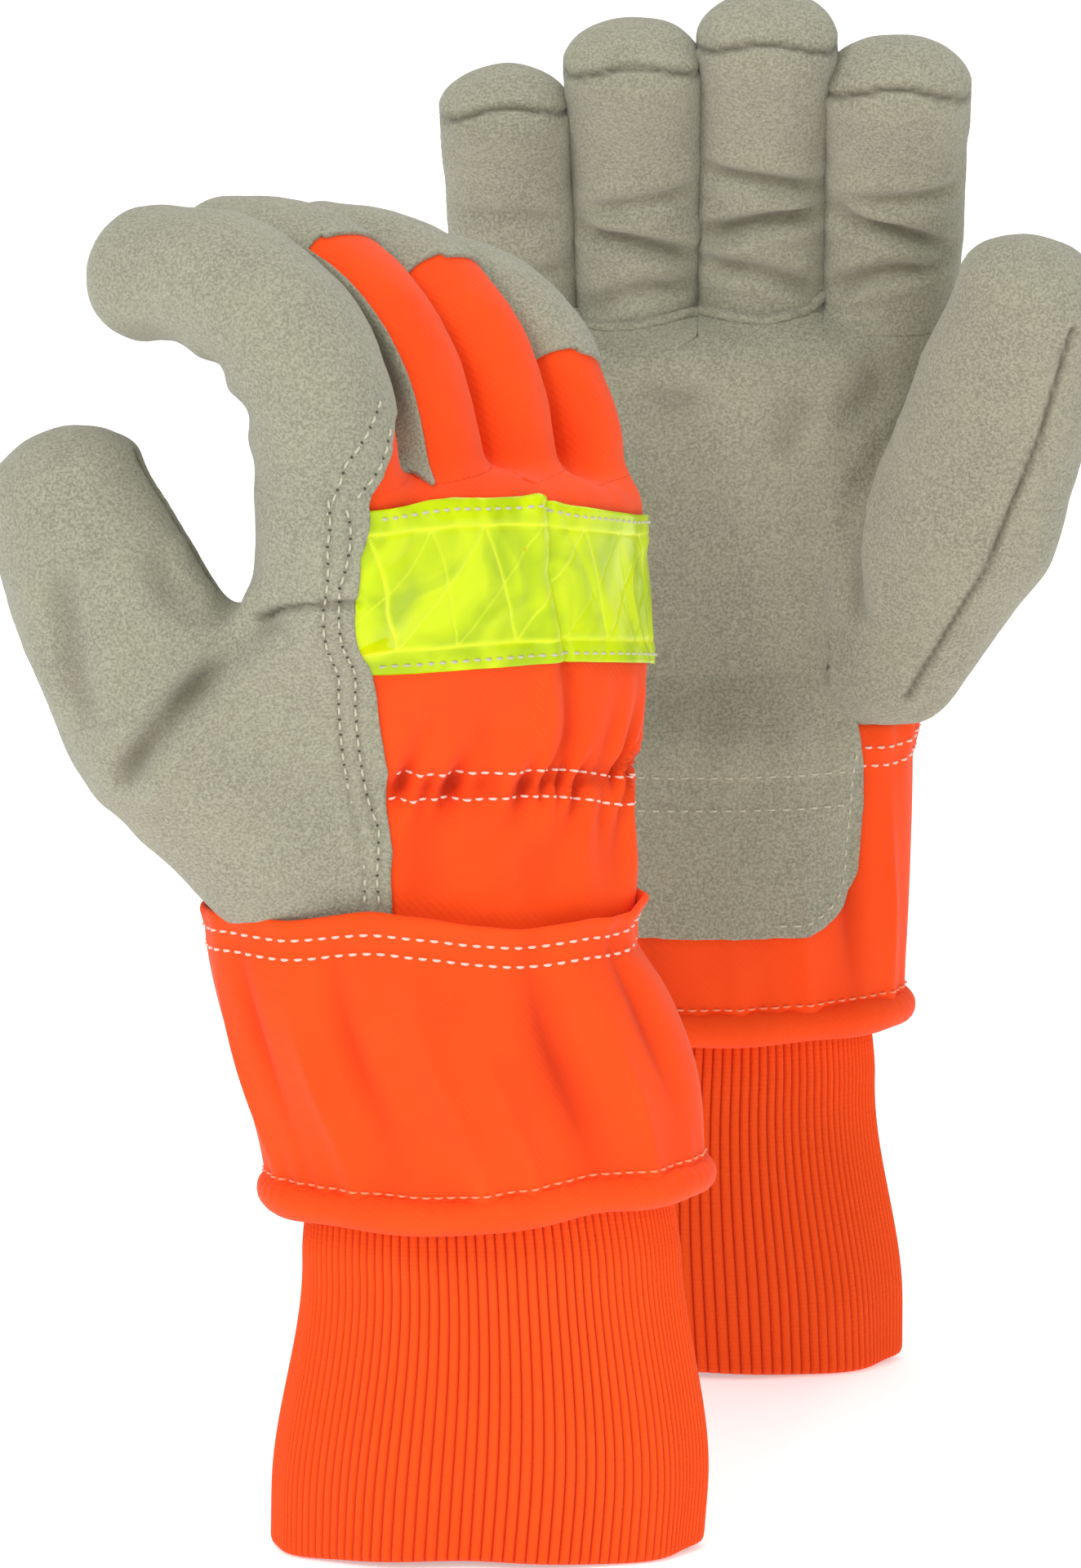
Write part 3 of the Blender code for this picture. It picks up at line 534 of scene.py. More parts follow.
class Stall:
    """A finger or thumb: a tube of elliptical section along a curling path."""

    def __init__(self, hinge, heading, palm_side, size, curl, heel=None):
        width, thickness, length = size
        self.hinge = np.asarray(hinge, float)
        self.heading = unit(heading)
        self.side = unit(np.cross(self.heading, palm_side))
        self.palm_side = unit(np.cross(self.side, self.heading))
        self.reach = length - thickness * 0.29
        steps = 22
        travels = np.linspace(0.0, self.reach, steps)
        turns = math.radians(curl) * ease((travels - 4.0) / (self.reach - 4.0) * 0.96)
        ways = (np.outer(np.cos(turns), self.heading) + np.outer(np.sin(turns), self.palm_side))
        middles = (ways[1:] + ways[:-1]) / 2 * (travels[1] - travels[0])
        path = self.hinge + np.vstack([np.zeros(3), np.cumsum(middles, axis=0)])
        start = self.hinge - self.heading * 16.0 if heel is None else self.hinge + np.asarray(heel)
        self.path = np.vstack([start, path])
        self.travel = np.concatenate([[-np.linalg.norm(self.hinge - start)], travels])
        share = self.travel / self.reach
        if heel is None:
            self.wide = width / 2 \
                * curve_through((-0.3, 0.15, 0.6, 1.0), (0.88, 0.96, 1.0, 1.0), share)
            self.thick = thickness / 2 \
                * curve_through((-0.3, 0.15, 0.6, 1.0), (1.0, 1.02, 0.98, 0.90), share)
        else:
            self.wide = width / 2 \
                * curve_through((-0.6, 0.0, 0.5, 1.0), (0.78, 1.08, 1.05, 0.88), share)
            self.thick = thickness / 2 \
                * curve_through((-0.6, 0.0, 0.5, 1.0), (0.8, 1.06, 1.0, 0.88), share)
        ways = np.gradient(self.path, axis=0)
        ways /= np.linalg.norm(ways, axis=1)[:, None]
        self.back = np.cross(ways, self.side)
        self.back /= np.linalg.norm(self.back, axis=1)[:, None]
        self.ways = ways

    def measure(self, points):
        """Distance to the surface, travel along the stall and angle round it, for each point."""
        best = np.full(len(points), 1e9)
        travel = np.zeros(len(points))
        angle = np.zeros(len(points))
        for low in range(len(self.path) - 1):
            step = self.path[low + 1] - self.path[low]
            share = np.clip((points - self.path[low]) @ step / (step @ step), 0.0, 1.0)
            away = points - self.path[low] - share[:, None] * step
            wide = self.wide[low] + (self.wide[low + 1] - self.wide[low]) * share
            thick = self.thick[low] + (self.thick[low + 1] - self.thick[low]) * share
            if low == len(self.path) - 2:
                way = self.ways[-1]
                along = away @ way
                away = away + np.outer(np.maximum(along, 0.0) * 0.5, way)
            across = away @ self.side
            rest = np.sqrt(np.maximum((away * away).sum(1) - across * across, 0.0))
            distance = ellipse_distance(across, rest, wide, thick)
            closer = distance < best
            best[closer] = distance[closer]
            travel[closer] = (self.travel[low] + (self.travel[low + 1] - self.travel[low])
                              * share)[closer]
            back = self.back[low] + (self.back[low + 1] - self.back[low]) * share[:, None]
            outward = (away * back).sum(1)
            angle[closer] = np.degrees(np.arctan2(outward / thick, across / wide))[closer]
        beyond = (points - self.path[-1]) @ self.ways[-1]
        travel = np.where(beyond > 0.0, self.reach + beyond, travel)
        return best, travel, angle

    def distance(self, points):
        """Distance alone, worked out only near the stall."""
        low = self.path.min(0) - 34.0
        high = self.path.max(0) + 34.0
        close = ((points > low) & (points < high)).all(1)
        result = np.full(len(points), 60.0)
        if close.any():
            result[close] = self.measure(points[close])[0]
        return result


class Glove:
    """The whole leather and fabric hand of one glove, above its cuff."""

    def __init__(self, name):
        self.name = name
        pose = POSES[name]
        self.pose = pose
        joints = {joint["name"]: joint for joint in frame["joints"]}
        self.wrist = np.array(joints[f"{name}_wrist_bend"]["pos_m"]) / MM
        self.stalls = {}
        spots = []
        for finger in FINGERS:
            joint = joints[f"{name}_{finger}_knuckle"]
            hinge = np.array(joint["pos_m"]) / MM
            side = np.array(joint["axis"])
            palmward = unit((side[1], -side[0], 0.0))
            upward = unit(np.cross(palmward, side))
            start, end = pose["curls"][finger]
            lean = math.radians(start)
            heading = upward * math.cos(lean) + palmward * math.sin(lean)
            if (name, finger) == ("near", "index"):
                hinge = hinge + palmward * 3.6
            self.stalls[finger] = Stall(hinge, heading, palmward,
                                         STALL_SIZES[name][finger], end - start)
            spots.append(hinge)
        joint = joints[f"{name}_thumb_root"]
        self.stalls["thumb"] = Stall(np.array(joint["pos_m"]) / MM, pose["thumb"], joint["axis"],
                                     STALL_SIZES[name]["thumb"], pose["thumb_curl"],
                                     heel=pose["thumb_heel"])
        ends = np.array([spots[0], spots[-1]])
        self.knuckle_middle = ends.mean(0)[:2] + unit(spots[0][:2] - spots[-1][:2]) * -1.0
        self.half = np.linalg.norm(ends[0, :2] - ends[1, :2]) / 2 + 14.5
        self.knuckle_drop = 7.0

    def directions(self, height):
        share = ease((height - LIP_HEIGHT) / KNUCKLE_RISE)
        first, last = self.pose["wrist_turn"], self.pose["knuckle_turn"]
        turn = np.radians(first + (last - first) * share)
        level = np.zeros_like(turn)
        return (np.stack([-np.cos(turn), -np.sin(turn), level], 1),
                np.stack([-np.sin(turn), np.cos(turn), level], 1))

    def middle(self, height):
        share = ease((height - LIP_HEIGHT) / KNUCKLE_RISE)[:, None]
        spot = self.wrist[:2] + (self.knuckle_middle - self.wrist[:2]) * share
        return np.column_stack([spot, height])

    def half_sizes(self, height):
        rise = height - LIP_HEIGHT
        half = self.half
        thumb_side = curve_through((-10, 4, 14, 30, 60, 94), (45.5, 46.5, 49.5, 55, 57, half), rise)
        little_side = curve_through((-10, 4, 24, 60, 94), (46.5, 47.5, 46, 53, half), rise)
        depth = curve_through((-10, 4, 24, 60, 94, 112), (18.8, 19.2, 20.5, 23.5, 24.5, 19.5), rise)
        return thumb_side, little_side, depth

    def coordinates(self, points):
        """Height, angle round the hand, and the two offsets from its middle."""
        height = points[:, 2].copy()
        for _ in range(2):
            thumbward, palmward = self.directions(height)
            away = points - self.middle(height)
            across = (away * thumbward).sum(1)
            share = np.clip((height - LIP_HEIGHT) / KNUCKLE_RISE, 0.0, 1.0)
            height = points[:, 2] - self.pose["slope"] * across * share
        outward = -(away * palmward).sum(1)
        thumb_side, little_side, depth = self.half_sizes(height)
        wide = np.where(across >= 0.0, thumb_side, little_side)
        angle = np.degrees(np.arctan2(outward / depth, across / wide))
        angle = np.where(angle < -120.0, angle + 360.0, angle)
        return height, angle, across, outward, wide, depth

    def point(self, height, angle, reach=1.0):
        """A point near the hand's surface, from its height and angle."""
        height = np.atleast_1d(np.asarray(height, float))
        turn = np.radians(np.broadcast_to(angle, height.shape))
        thumb_side, little_side, depth = self.half_sizes(height)
        thumbward, palmward = self.directions(height)
        wide = np.where(np.cos(turn) >= 0.0, thumb_side, little_side)
        across = wide * np.cos(turn) * reach
        outward = depth * np.sin(turn) * reach
        spot = self.middle(height) + thumbward * across[:, None] - palmward * outward[:, None]
        share = np.clip((height - LIP_HEIGHT) / KNUCKLE_RISE, 0.0, 1.0)
        spot[:, 2] += self.pose["slope"] * across * share
        return spot

    def hand_distance(self, points):
        height, _, across, outward, wide, depth = self.coordinates(points)
        round_hand = ellipse_distance(across, outward, wide, depth)
        drop = self.knuckle_drop * np.clip(-across / self.half, 0.0, 1.0)
        top = height - (LIP_HEIGHT + KNUCKLE_RISE + 10.0 - drop)
        return -soft_union(-round_hand, -top, 8.0)

    def distance(self, points, only=None):
        """The glove's whole surface: the hand with each stall joined on softly."""
        hand = self.hand_distance(points)
        whole = hand.copy()
        for name, stall in self.stalls.items():
            if only is not None and name not in only:
                continue
            fillet = 16.0 if name == "thumb" else 6.0
            whole = np.minimum(whole, soft_union(hand, stall.distance(points), fillet))
        return whole

    def on_skin(self, height, angle, only=FINGERS):
        """The point of the surface that lies outward from the hand's middle at an angle."""
        near, beyond = np.full(len(height), 0.55), np.full(len(height), 1.75)
        for _ in range(13):
            reach = (near + beyond) / 2.0
            inside = self.distance(self.point(height, angle, reach), only) < 0.0
            near = np.where(inside, reach, near)
            beyond = np.where(inside, beyond, reach)
        return self.settle(self.point(height, angle, near), only)

    def settle(self, points, only=None):
        """Move points onto the surface, and give the surface's direction there."""
        points = points.copy()
        small = 0.4
        for _ in range(3):
            here = self.distance(points, only)
            slope = np.stack([(self.distance(points + step, only) - here) / small
                              for step in np.eye(3) * small], 1)
            size = np.linalg.norm(slope, axis=1)[:, None] + 1e-9
            points -= slope / size * np.clip(here[:, None] / size, -1.5, 1.5)
        direction = slope / size
        return points, direction


gloves = {name: Glove(name) for name in POSES}


def surface_net(distance, low, high, step):
    """Wrap a net of four-sided faces round the solid where distance is negative."""
    axes = [np.arange(low[k], high[k] + step, step) for k in range(3)]
    shape = [len(axis) for axis in axes]
    points = np.stack(np.meshgrid(*axes, indexing="ij"), -1).reshape(-1, 3)
    values = distance(points).reshape(shape)
    inside = values < 0.0
    total = np.zeros((*[size - 1 for size in shape], 3))
    count = np.zeros([size - 1 for size in shape])
    crossings = []
    for axis in range(3):
        first = [slice(None)] * 3
        second = [slice(None)] * 3
        first[axis] = slice(0, -1)
        second[axis] = slice(1, None)
        start, end = values[tuple(first)], values[tuple(second)]
        cross = inside[tuple(first)] != inside[tuple(second)]
        where = np.argwhere(cross)
        place = where.astype(float)
        a, b = start[cross], end[cross]
        place[:, axis] += a / (a - b)
        crossings.append((axis, where, inside[tuple(first)][cross]))
        others = [k for k in range(3) if k != axis]
        for back_one in (0, 1):
            for back_two in (0, 1):
                cell = where.copy()
                cell[:, others[0]] -= back_one
                cell[:, others[1]] -= back_two
                good = ((cell >= 0) & (cell < np.array(shape) - 1)).all(1)
                index = tuple(cell[good].T)
                np.add.at(total, index, place[good])
                np.add.at(count, index, 1.0)
    used = count > 0
    number = np.full(count.shape, -1)
    number[used] = np.arange(used.sum())
    verts = total[used] / count[used][:, None] * step + np.array(low)
    faces = []
    for axis, where, starts_inside in crossings:
        others = [k for k in range(3) if k != axis]
        good = ((where[:, others] > 0) & (where[:, others] < np.array(shape)[others] - 1)).all(1)
        where, starts_inside = where[good], starts_inside[good]
        corners = []
        for back_one, back_two in ((1, 1), (0, 1), (0, 0), (1, 0)):
            cell = where.copy()
            cell[:, others[0]] -= back_one
            cell[:, others[1]] -= back_two
            corners.append(number[tuple(cell.T)])
        quads = np.stack(corners, 1)
        flip = starts_inside if axis == 1 else ~starts_inside
        quads[flip] = quads[flip][:, ::-1]
        faces.append(quads)
    return verts, np.vstack(faces)


def cut_net(verts, faces, values):
    """Keep the part of a net where values are positive, with a clean edge along zero."""
    keep = values > 0.0
    verts = list(map(tuple, verts))
    result = []
    made = {}

    def edge_point(first, second):
        key = (min(first, second), max(first, second))
        if key not in made:
            share = values[key[0]] / (values[key[0]] - values[key[1]])
            one, two = verts[key[0]], verts[key[1]]
            made[key] = len(verts)
            verts.append(tuple(p + (q - p) * share for p, q in zip(one, two)))
        return made[key]

    for face in faces:
        face = tuple(face)
        flags = [keep[corner] for corner in face]
        if all(flags):
            result.append(face)
        elif any(flags):
            outline = []
            for place, corner in enumerate(face):
                following = face[(place + 1) % len(face)]
                if flags[place]:
                    outline.append(corner)
                if flags[place] != flags[(place + 1) % len(face)]:
                    outline.append(edge_point(corner, following))
            if len(outline) > 2:
                result.append(tuple(outline))
    used = sorted({corner for face in result for corner in face})
    place = {corner: index for index, corner in enumerate(used)}
    return (np.array([verts[corner] for corner in used]).reshape(-1, 3),
            [tuple(place[corner] for corner in face) for face in result])


NET_STEP = 2.3
LEATHER_LIFT = 1.0
LEATHER_THICK = 1.4
CLOTH_THICK = 1.0
FINGER_CUT = 9.0
THUMB_CUT = 14.0
ELASTIC_RISE = 32.4
PLEAT = ((20, 43, 62, 82, 97, 116), (122, 116, 106, 95, 92, 117))
SADDLE_EDGE = ((0, 8, 18, 36, 55, 65, 77, 88, 100, 110, 116),
               (77, 76.5, 75.5, 69.7, 57.3, 48.8, 42.6, 38.5, 41.6, 50.8, 55))
creases = {"near": [], "far": []}


def add_crease(name, line, depth, width, shoulder=0.35):
    """A crease along a line of points; each side of it swells a little."""
    creases[name].append((np.asarray(line, float), depth, width, shoulder))


def line_distance(points, line):
    """Distance from each point to a line of points, and how far along it the point lies."""
    best = np.full(len(points), 1e9)
    along = np.zeros(len(points))
    for number, (start, end) in enumerate(zip(line, line[1:])):
        step = end - start
        share = np.clip((points - start) @ step / max(step @ step, 1e-9), 0.0, 1.0)
        away = points - start - share[:, None] * step
        distance = (away * away).sum(1)
        closer = distance < best
        best[closer] = distance[closer]
        along[closer] = ((number + share) / (len(line) - 1))[closer]
    return np.sqrt(best), along


def folds_at(glove, points, shade=False):
    """How far the creases and seams raise or sink the skin. With shade set, it is the painted
    shade, less on a wide fold.
    """
    total = np.zeros(len(points))
    for line, depth, width, shoulder in creases[glove.name]:
        low = line.min(0) - width * 4.0
        high = line.max(0) + width * 4.0
        close = ((points > low) & (points < high)).all(1)
        if close.any():
            away, along = line_distance(points[close], line)
            away = away / width
            fade = ease(np.minimum(along, 1.0 - along) / 0.3) if width > 1.6 else 1.0
            fade = fade * (0.36 if shade and width > 1.6 else 1.0)
            total[close] += fade * depth * (shoulder * np.exp(-((away - 1.9) / 1.0) ** 2)
                                            - np.exp(-away ** 2))
    return total


def relief(glove, points):
    """How far the skin stands above or below its plain shape: folds, creases and lumps."""
    return folds_at(glove, points) + 0.75 * drift(points, 17.0, 3.0) \
        + 0.3 * drift(points, 7.0, 5.0)


def cloth_relief(glove, points, height, angle):
    """Gathers that the elastic pulls into the cloth back, and its pleat over the tape."""
    rise = height - LIP_HEIGHT
    pull = np.exp(-((rise - ELASTIC_RISE) / 3.4) ** 2)
    spread_out = np.exp(-((rise - ELASTIC_RISE) / 15.0) ** 2)
    gather = 0.7 * np.sin(np.radians(angle) * 19.0 + 1.6 * np.sin(rise / 9.0)
                          + 1.4 * np.sin(np.radians(angle) * 5.0))
    gather = gather + 0.75 * np.exp(-((rise - ELASTIC_RISE) / 7.0) ** 2) \
        * np.sin(np.radians(angle) * 43.0 + 2.0 * np.sin(np.radians(angle) * 9.0))
    on_back = ease((angle - 50.0) / 12.0) * ease((200.0 - angle) / 12.0)
    past = angle - np.interp(rise, *PLEAT)
    fold = 1.5 * np.exp(-((past + 4.0) / 4.0) ** 2) - 1.5 * np.exp(-((past - 2.4) / 2.6) ** 2)
    drape = np.exp(-((rise - 14.0) / 11.0) ** 2) * np.sin(np.radians(angle) * 11.0 + 0.8)
    return on_back * (gather * spread_out * 1.7 - 2.0 * pull + drape * 1.1
                      + fold * ease((rise - 22.0) / 16.0) * ease((100.0 - rise) / 14.0))


def dress(glove, points, only=None, lift=0.0):
    """Points laid on the glove with its folds, and the outward direction there."""
    settled, direction = glove.settle(points, only)
    height, angle = glove.coordinates(settled)[:2]
    raised = relief(glove, settled) + lift
    share = ease((angle - saddle_edge(height) + 8.0) / 8.0)
    gathers = cloth_relief(glove, settled, height, angle) * share \
        * ease((262.0 - settled[:, 2]) / 8.0)
    return settled + direction * (raised + gathers)[:, None], direction


def saddle_edge(height):
    """The angle where the leather saddle ends on the back of the hand."""
    return np.interp(height - LIP_HEIGHT, *SADDLE_EDGE)


def arc_length(glove, height, angle, edge):
    """Roughly how many millimetres an angle lies past an edge angle."""
    turn = np.radians((angle + edge) / 2.0)
    return np.radians(angle - edge) * np.hypot(23.0 * np.cos(turn), 52.0 * np.sin(turn))


def tape_lift(glove, height, angle):
    """How much the leather edge rises where the tape passes under it."""
    under_tape = ease((height - LIP_HEIGHT - 52.0) / 7.0) \
        * ease((LIP_HEIGHT + 106.0 - height) / 6.0)
    edge = np.abs(arc_length(glove, height, angle, saddle_edge(height)))
    return 0.9 * under_tape * np.exp(-(edge / 9.0) ** 2)


def finger_reach(glove, points):
    """For the nearest finger: how far along it a point lies, and its number."""
    reach = np.stack([(points - glove.stalls[f].hinge) @ glove.stalls[f].heading
                      for f in FINGERS], 1)
    apart = np.stack([np.abs((points - glove.stalls[f].hinge) @ glove.stalls[f].side)
                      - STALL_SIZES[glove.name][f][0] / 2 for f in FINGERS], 1)
    nearest = apart.argmin(1)
    return reach[np.arange(len(points)), nearest], nearest, reach, apart


def thumb_share(glove, points):
    """Above zero on the thumb past its root seam."""
    thumb = glove.stalls["thumb"]
    along = (points - thumb.hinge) @ thumb.heading - THUMB_CUT
    return np.minimum(along, (glove.hand_distance(points) - thumb.distance(points)) * 0.7 + 3.0)


suede, tree, shader = new_material("grey split cowhide suede", "#A9A594", 0.92,
                                   Sheen_Weight=0.3, Specular_IOR_Level=0.15)
# tanning leaves cloudy patches 15 mm wide; the nap is matted in curls under 1 mm wide
place = add_node(tree, "ShaderNodeTexCoord").outputs["Object"]
clouds = add_node(tree, "ShaderNodeTexNoise", {"Scale": 55.0, "Detail": 5.0, "Roughness": 0.6},
                  {"Vector": place})
curls = add_node(tree, "ShaderNodeTexNoise", {"Scale": 1500.0, "Detail": 3.0, "Roughness": 0.7},
                 {"Vector": place})
nap = add_node(tree, "ShaderNodeTexNoise", {"Scale": 2300.0, "Detail": 3.0}, {"Vector": place})
cloud_ramp = add_node(tree, "ShaderNodeMapRange", {"From Min": 0.32, "From Max": 0.68},
                      {"Value": clouds.outputs["Fac"]})
shade = mix_colours(tree, cloud_ramp.outputs["Result"], "#848370", "#919079")
curl_ramp = add_node(tree, "ShaderNodeMapRange", {"From Min": 0.38, "From Max": 0.62,
                                                  "To Min": 0.0, "To Max": 0.75},
                     {"Value": curls.outputs["Fac"]})
speckle = mix_colours(tree, curl_ramp.outputs["Result"], shade, "#B6B49E")
# painted shade: the nap is coloured darker in seams and creases, where shade falls
painted_crease_shade = mix_colours(tree, marked(tree, "hollow"), speckle, "#625D4C")
tree.links.new(painted_crease_shade, shader.inputs["Base Color"])
curl_bump = add_bump(tree, curls, 0.8, 0.0006)
tree.links.new(add_bump(tree, nap, 0.4, 0.0002, curl_bump), shader.inputs["Normal"])


def seam_line(glove, heights, angles):
    """Points on the plain surface from lists of heights and angles."""
    return glove.on_skin(np.asarray(heights, float), np.asarray(angles, float))[0]


def stall_line(stall, travels, angles):
    """Points near a stall's surface from travel along it and angle round it."""
    travels = np.asarray(travels, float)
    turn = np.radians(np.broadcast_to(angles, travels.shape))
    middle = np.stack([np.interp(travels, stall.travel, stall.path[:, k]) for k in range(3)], 1)
    back = np.stack([np.interp(travels, stall.travel, stall.back[:, k]) for k in range(3)], 1)
    wide = np.interp(travels, stall.travel, stall.wide)
    thick = np.interp(travels, stall.travel, stall.thick)
    return middle + stall.side * (wide * np.cos(turn))[:, None] \
        + back * (thick * np.sin(turn))[:, None]


# the creases of each finger front: share of its length, slant in millimetres and depth
FINGER_BENDS = {
    "near": {"index": ((0.34, 3, 1.4), (0.58, -2, 1.2)), "middle": ((0.4, 2, 1.8),),
             "ring": ((0.4, 2, 1.8),), "little": ((0.45, 2, 1.6),)},
    "far": {"index": ((0.33, 6, 2.0), (0.50, -7, 2.8), (0.64, 4, 1.6)),
            "middle": ((0.28, -5, 2.0), (0.45, 5, 2.9), (0.60, -4, 2.2)),
            "ring": ((0.26, 4, 1.6), (0.43, -6, 2.7), (0.58, 5, 1.4)),
            "little": ((0.40, 4, 1.1), (0.66, -3, 0.8))},
}
THUMB_SEAM = {"near": 2.0, "far": -61.0}
# seams and wear creases of each glove, as lines on its surface
for name, glove in gloves.items():
    thumb = glove.stalls["thumb"]
    for finger in FINGERS:
        stall = glove.stalls[finger]
        for side_angle in (0.0, 180.0):
            if (name, finger) == ("near", "index"):
                continue
            add_crease(name, stall_line(stall, np.linspace(18, stall.reach + 2, 14), side_angle),
                       0.9, 1.0, 0.12)
        for share, tilt, depth in FINGER_BENDS[name][finger]:
            around = np.linspace(198, 342, 12)
            bow = tilt * (around - 270.0) / 72.0 + 1.5 * np.sin(np.radians(around * 3.0))
            add_crease(name, stall_line(stall, stall.reach * share + bow, around), depth,
                       2.3 if name == "far" else 3.6, 0.6)
        if name == "far":
            around = np.linspace(184, 356, 15)
            turn = np.radians(around)
            rise = 0.70 - 0.75 * np.abs(np.cos(turn)) ** 3
            reach = np.sqrt(1.0 - np.clip(rise, 0.0, 1.0) ** 2)
            rim = stall.path[-1] + np.outer(stall.thick[-1] * rise, stall.ways[-1]) \
                + stall.side * (stall.wide[-1] * reach * np.cos(turn))[:, None] \
                + stall.back[-1] * (stall.thick[-1] * reach * np.sin(turn))[:, None]
            rim = glove.settle(glove.settle(rim, (finger,))[0], (finger,))[0]
            add_crease(name, rim, 1.3, 0.8, 0.1)
    for side_angle in (THUMB_SEAM[name], 178.0):
        travel = np.linspace(-46, thumb.reach + 7.0, 30)
        tip_share = 0.74 if side_angle < 0.0 else 1.0
        around = side_angle * np.interp(travel, (0.0, thumb.reach), (1.0, tip_share))
        add_crease(name, stall_line(thumb, travel, around), 1.3, 0.85, 0.1)
SADDLE_ROWS = (((4, 12, 28, 47, 76, 90, 102), (68.5, 69, 63.7, 51.5, 32.8, 27.5, 30)),
               ((4, 23, 60, 81, 100), (73.0, 71.3, 48.0, 35.2, 35.0)))
SADDLE_SEAM = ((0, 12, 31, 43), (226.5, 229.7, 232.3, 233))
for name, glove in gloves.items():
    for rises, angles in SADDLE_ROWS:
        rise = np.linspace(rises[0], rises[-1], 22)
        add_crease(name, seam_line(glove, LIP_HEIGHT + rise, np.interp(rise, rises, angles)),
                   0.45, 1.2, 0.4)
    angle = np.linspace(-2, 43, 9)
    add_crease(name, seam_line(glove, np.interp(angle, *SADDLE_SEAM), angle), 1.2, 0.9, 0.3)
# the deep fold from the saddle seam down across the ball of the thumb, and two softer ones
add_crease("near", [(-56, -114, 238), (-66, -111, 230), (-76, -108, 221), (-86, -107, 210),
                    (-98, -106, 194), (-104, -104, 184)], 3.6, 3.6, 0.7)
add_crease("near", [(-113, -100, 246), (-112, -101, 232), (-109, -102, 214), (-103, -101, 200)],
           1.5, 5.0, 0.6)
add_crease("near", [(-92, -101, 250), (-88, -103, 238), (-77, -107, 229)], 1.6, 4.0, 0.7)
# the side of the middle finger is hollow beside the index and lies in its shade
add_crease("near", stall_line(gloves["near"].stalls["middle"], np.linspace(14, 74, 16), 24.0),
           3.0, 5.0, 0.2)
# the palm dips along the finger welt
for name, glove in gloves.items():
    for finger in ("ring", "middle"):
        add_crease(name, stall_line(glove.stalls[finger], np.full(9, FINGER_CUT),
                                    np.linspace(-140.0, -40.0, 9)), 1.6, 1.6, 0.3)
# where the far thumb folds against the palm
add_crease("far", [(73, 61, 188), (71, 62, 196), (70, 66, 208), (74, 70, 219), (84, 76, 238)],
           3.4, 4.0, 0.5)
add_crease("far", [(62, 72, 245), (58, 71, 236), (54, 71, 226)], 1.2, 4.6, 0.7)
add_crease("far", [(82, 77, 250), (74, 74, 240), (66, 71, 234)], 1.3, 4.6, 0.7)
add_crease("far", [(20, 75, 247), (28, 72, 243), (40, 72, 244)], 1.2, 4.2, 0.6)


def refine(verts, faces):
    """Split each four-sided face of a net into four."""
    edges = np.sort(np.stack([faces, np.roll(faces, -1, 1)], 2).reshape(-1, 2), 1)
    unique, where = np.unique(edges, axis=0, return_inverse=True)
    where = where.reshape(-1, 4) + len(verts)
    middles = np.arange(len(faces)) + len(verts) + len(unique)
    more = np.vstack([verts, verts[unique].mean(1), verts[faces].mean(1)])
    corners = [np.stack([faces[:, k], where[:, k], middles, where[:, k - 1]], 1)
               for k in range(4)]
    return more, np.vstack(corners)


def glove_skin(glove, low, high, only=None):
    """A net round part of a glove, moved exactly onto its surface."""
    verts, faces = surface_net(lambda points: glove.distance(points, only), low, high, NET_STEP)
    verts, faces = refine(glove.settle(verts, only)[0], faces)
    return glove.settle(verts, only)[0], faces


def finish_panel(name, glove, verts, faces, values, material, thickness, lift, only=None,
                 cloth_side=False):
    """Cut a panel out of a net and dress it with the glove's folds."""
    cut_verts, cut_faces = cut_net(verts, faces, values)
    if only is None:
        height, angle = glove.coordinates(cut_verts)[:2]
        if lift > 0.5:
            lift = lift + tape_lift(glove, height, angle)
        past = np.maximum(finger_reach(glove, cut_verts)[0] - FINGER_CUT,
                          thumb_share(glove, cut_verts))
        lift = lift - 0.7 * ease((past + 0.5) / 2.0)
    dressed, _ = dress(glove, cut_verts, only, lift)
    piece = make_piece(name, dressed, cut_faces, material, thickness)
    # the hollow mark: painted shade in creases, seams and folds, and on the cloth back in the
    # gathers
    depth = -folds_at(glove, cut_verts, True) / 1.6
    if cloth_side and only is None:
        height, angle = glove.coordinates(cut_verts)[:2]
        depth = depth - cloth_relief(glove, cut_verts, height, angle) / 4.0
    mark_points(piece, "hollow", depth)
    return piece


hand_nets = {}
for name, glove in gloves.items():
    spots = np.vstack([glove.stalls[finger].hinge for finger in FINGERS]
                      + [glove.point(np.array([160.0]), a) for a in (0.0, 90.0, 180.0, 270.0)]
                      + [glove.stalls["thumb"].path[:9]])
    low = spots.min(0) - 24.0
    high = spots.max(0) + 24.0
    low[2] = 150.0
    high[2] = max(glove.stalls[finger].hinge[2] for finger in FINGERS) + 22.0
    verts, faces = glove_skin(glove, low, high)
    reach = finger_reach(glove, verts)[0]
    height, angle = glove.coordinates(verts)[:2]
    own = np.minimum(FINGER_CUT + 4.0 - reach, 3.0 - thumb_share(glove, verts))
    past_edge = arc_length(glove, height, angle, saddle_edge(height))
    before_side = arc_length(glove, height, SIDE_SEAM + np.zeros_like(angle), angle)
    leather = np.maximum(-past_edge, -before_side)
    leather = np.where(angle < -60.0, 20.0, leather)
    leather = np.where(angle > 230.0, 20.0, leather)
    hand_nets[name] = (verts, faces, own, leather)
    piece = finish_panel(f"{name}_leather_hand", glove, verts, faces,
                         np.minimum(own, leather), suede, LEATHER_THICK, LEATHER_LIFT)
    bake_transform(piece)
    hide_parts(f"{name}_palm_leather", f"{name}_thumb_saddle", f"{name}_index_saddle")


# Cloth back: orange cross-rib cloth over the lining, from the cuff to the finger backs. A white
# elastic 9 mm wide is sewn inside it at the wrist with two rows of thread and gathers it.
for name, glove in gloves.items():
    verts, faces, own, leather = hand_nets[name]
    piece = finish_panel(f"{name}_cloth_back", glove, verts, faces,
                         np.minimum(own, 5.0 - leather), cloth, CLOTH_THICK, 0.0,
                         cloth_side=True)
    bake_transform(piece)
    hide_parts(f"{name}_back_fabric", f"{name}_wrist_elastic")


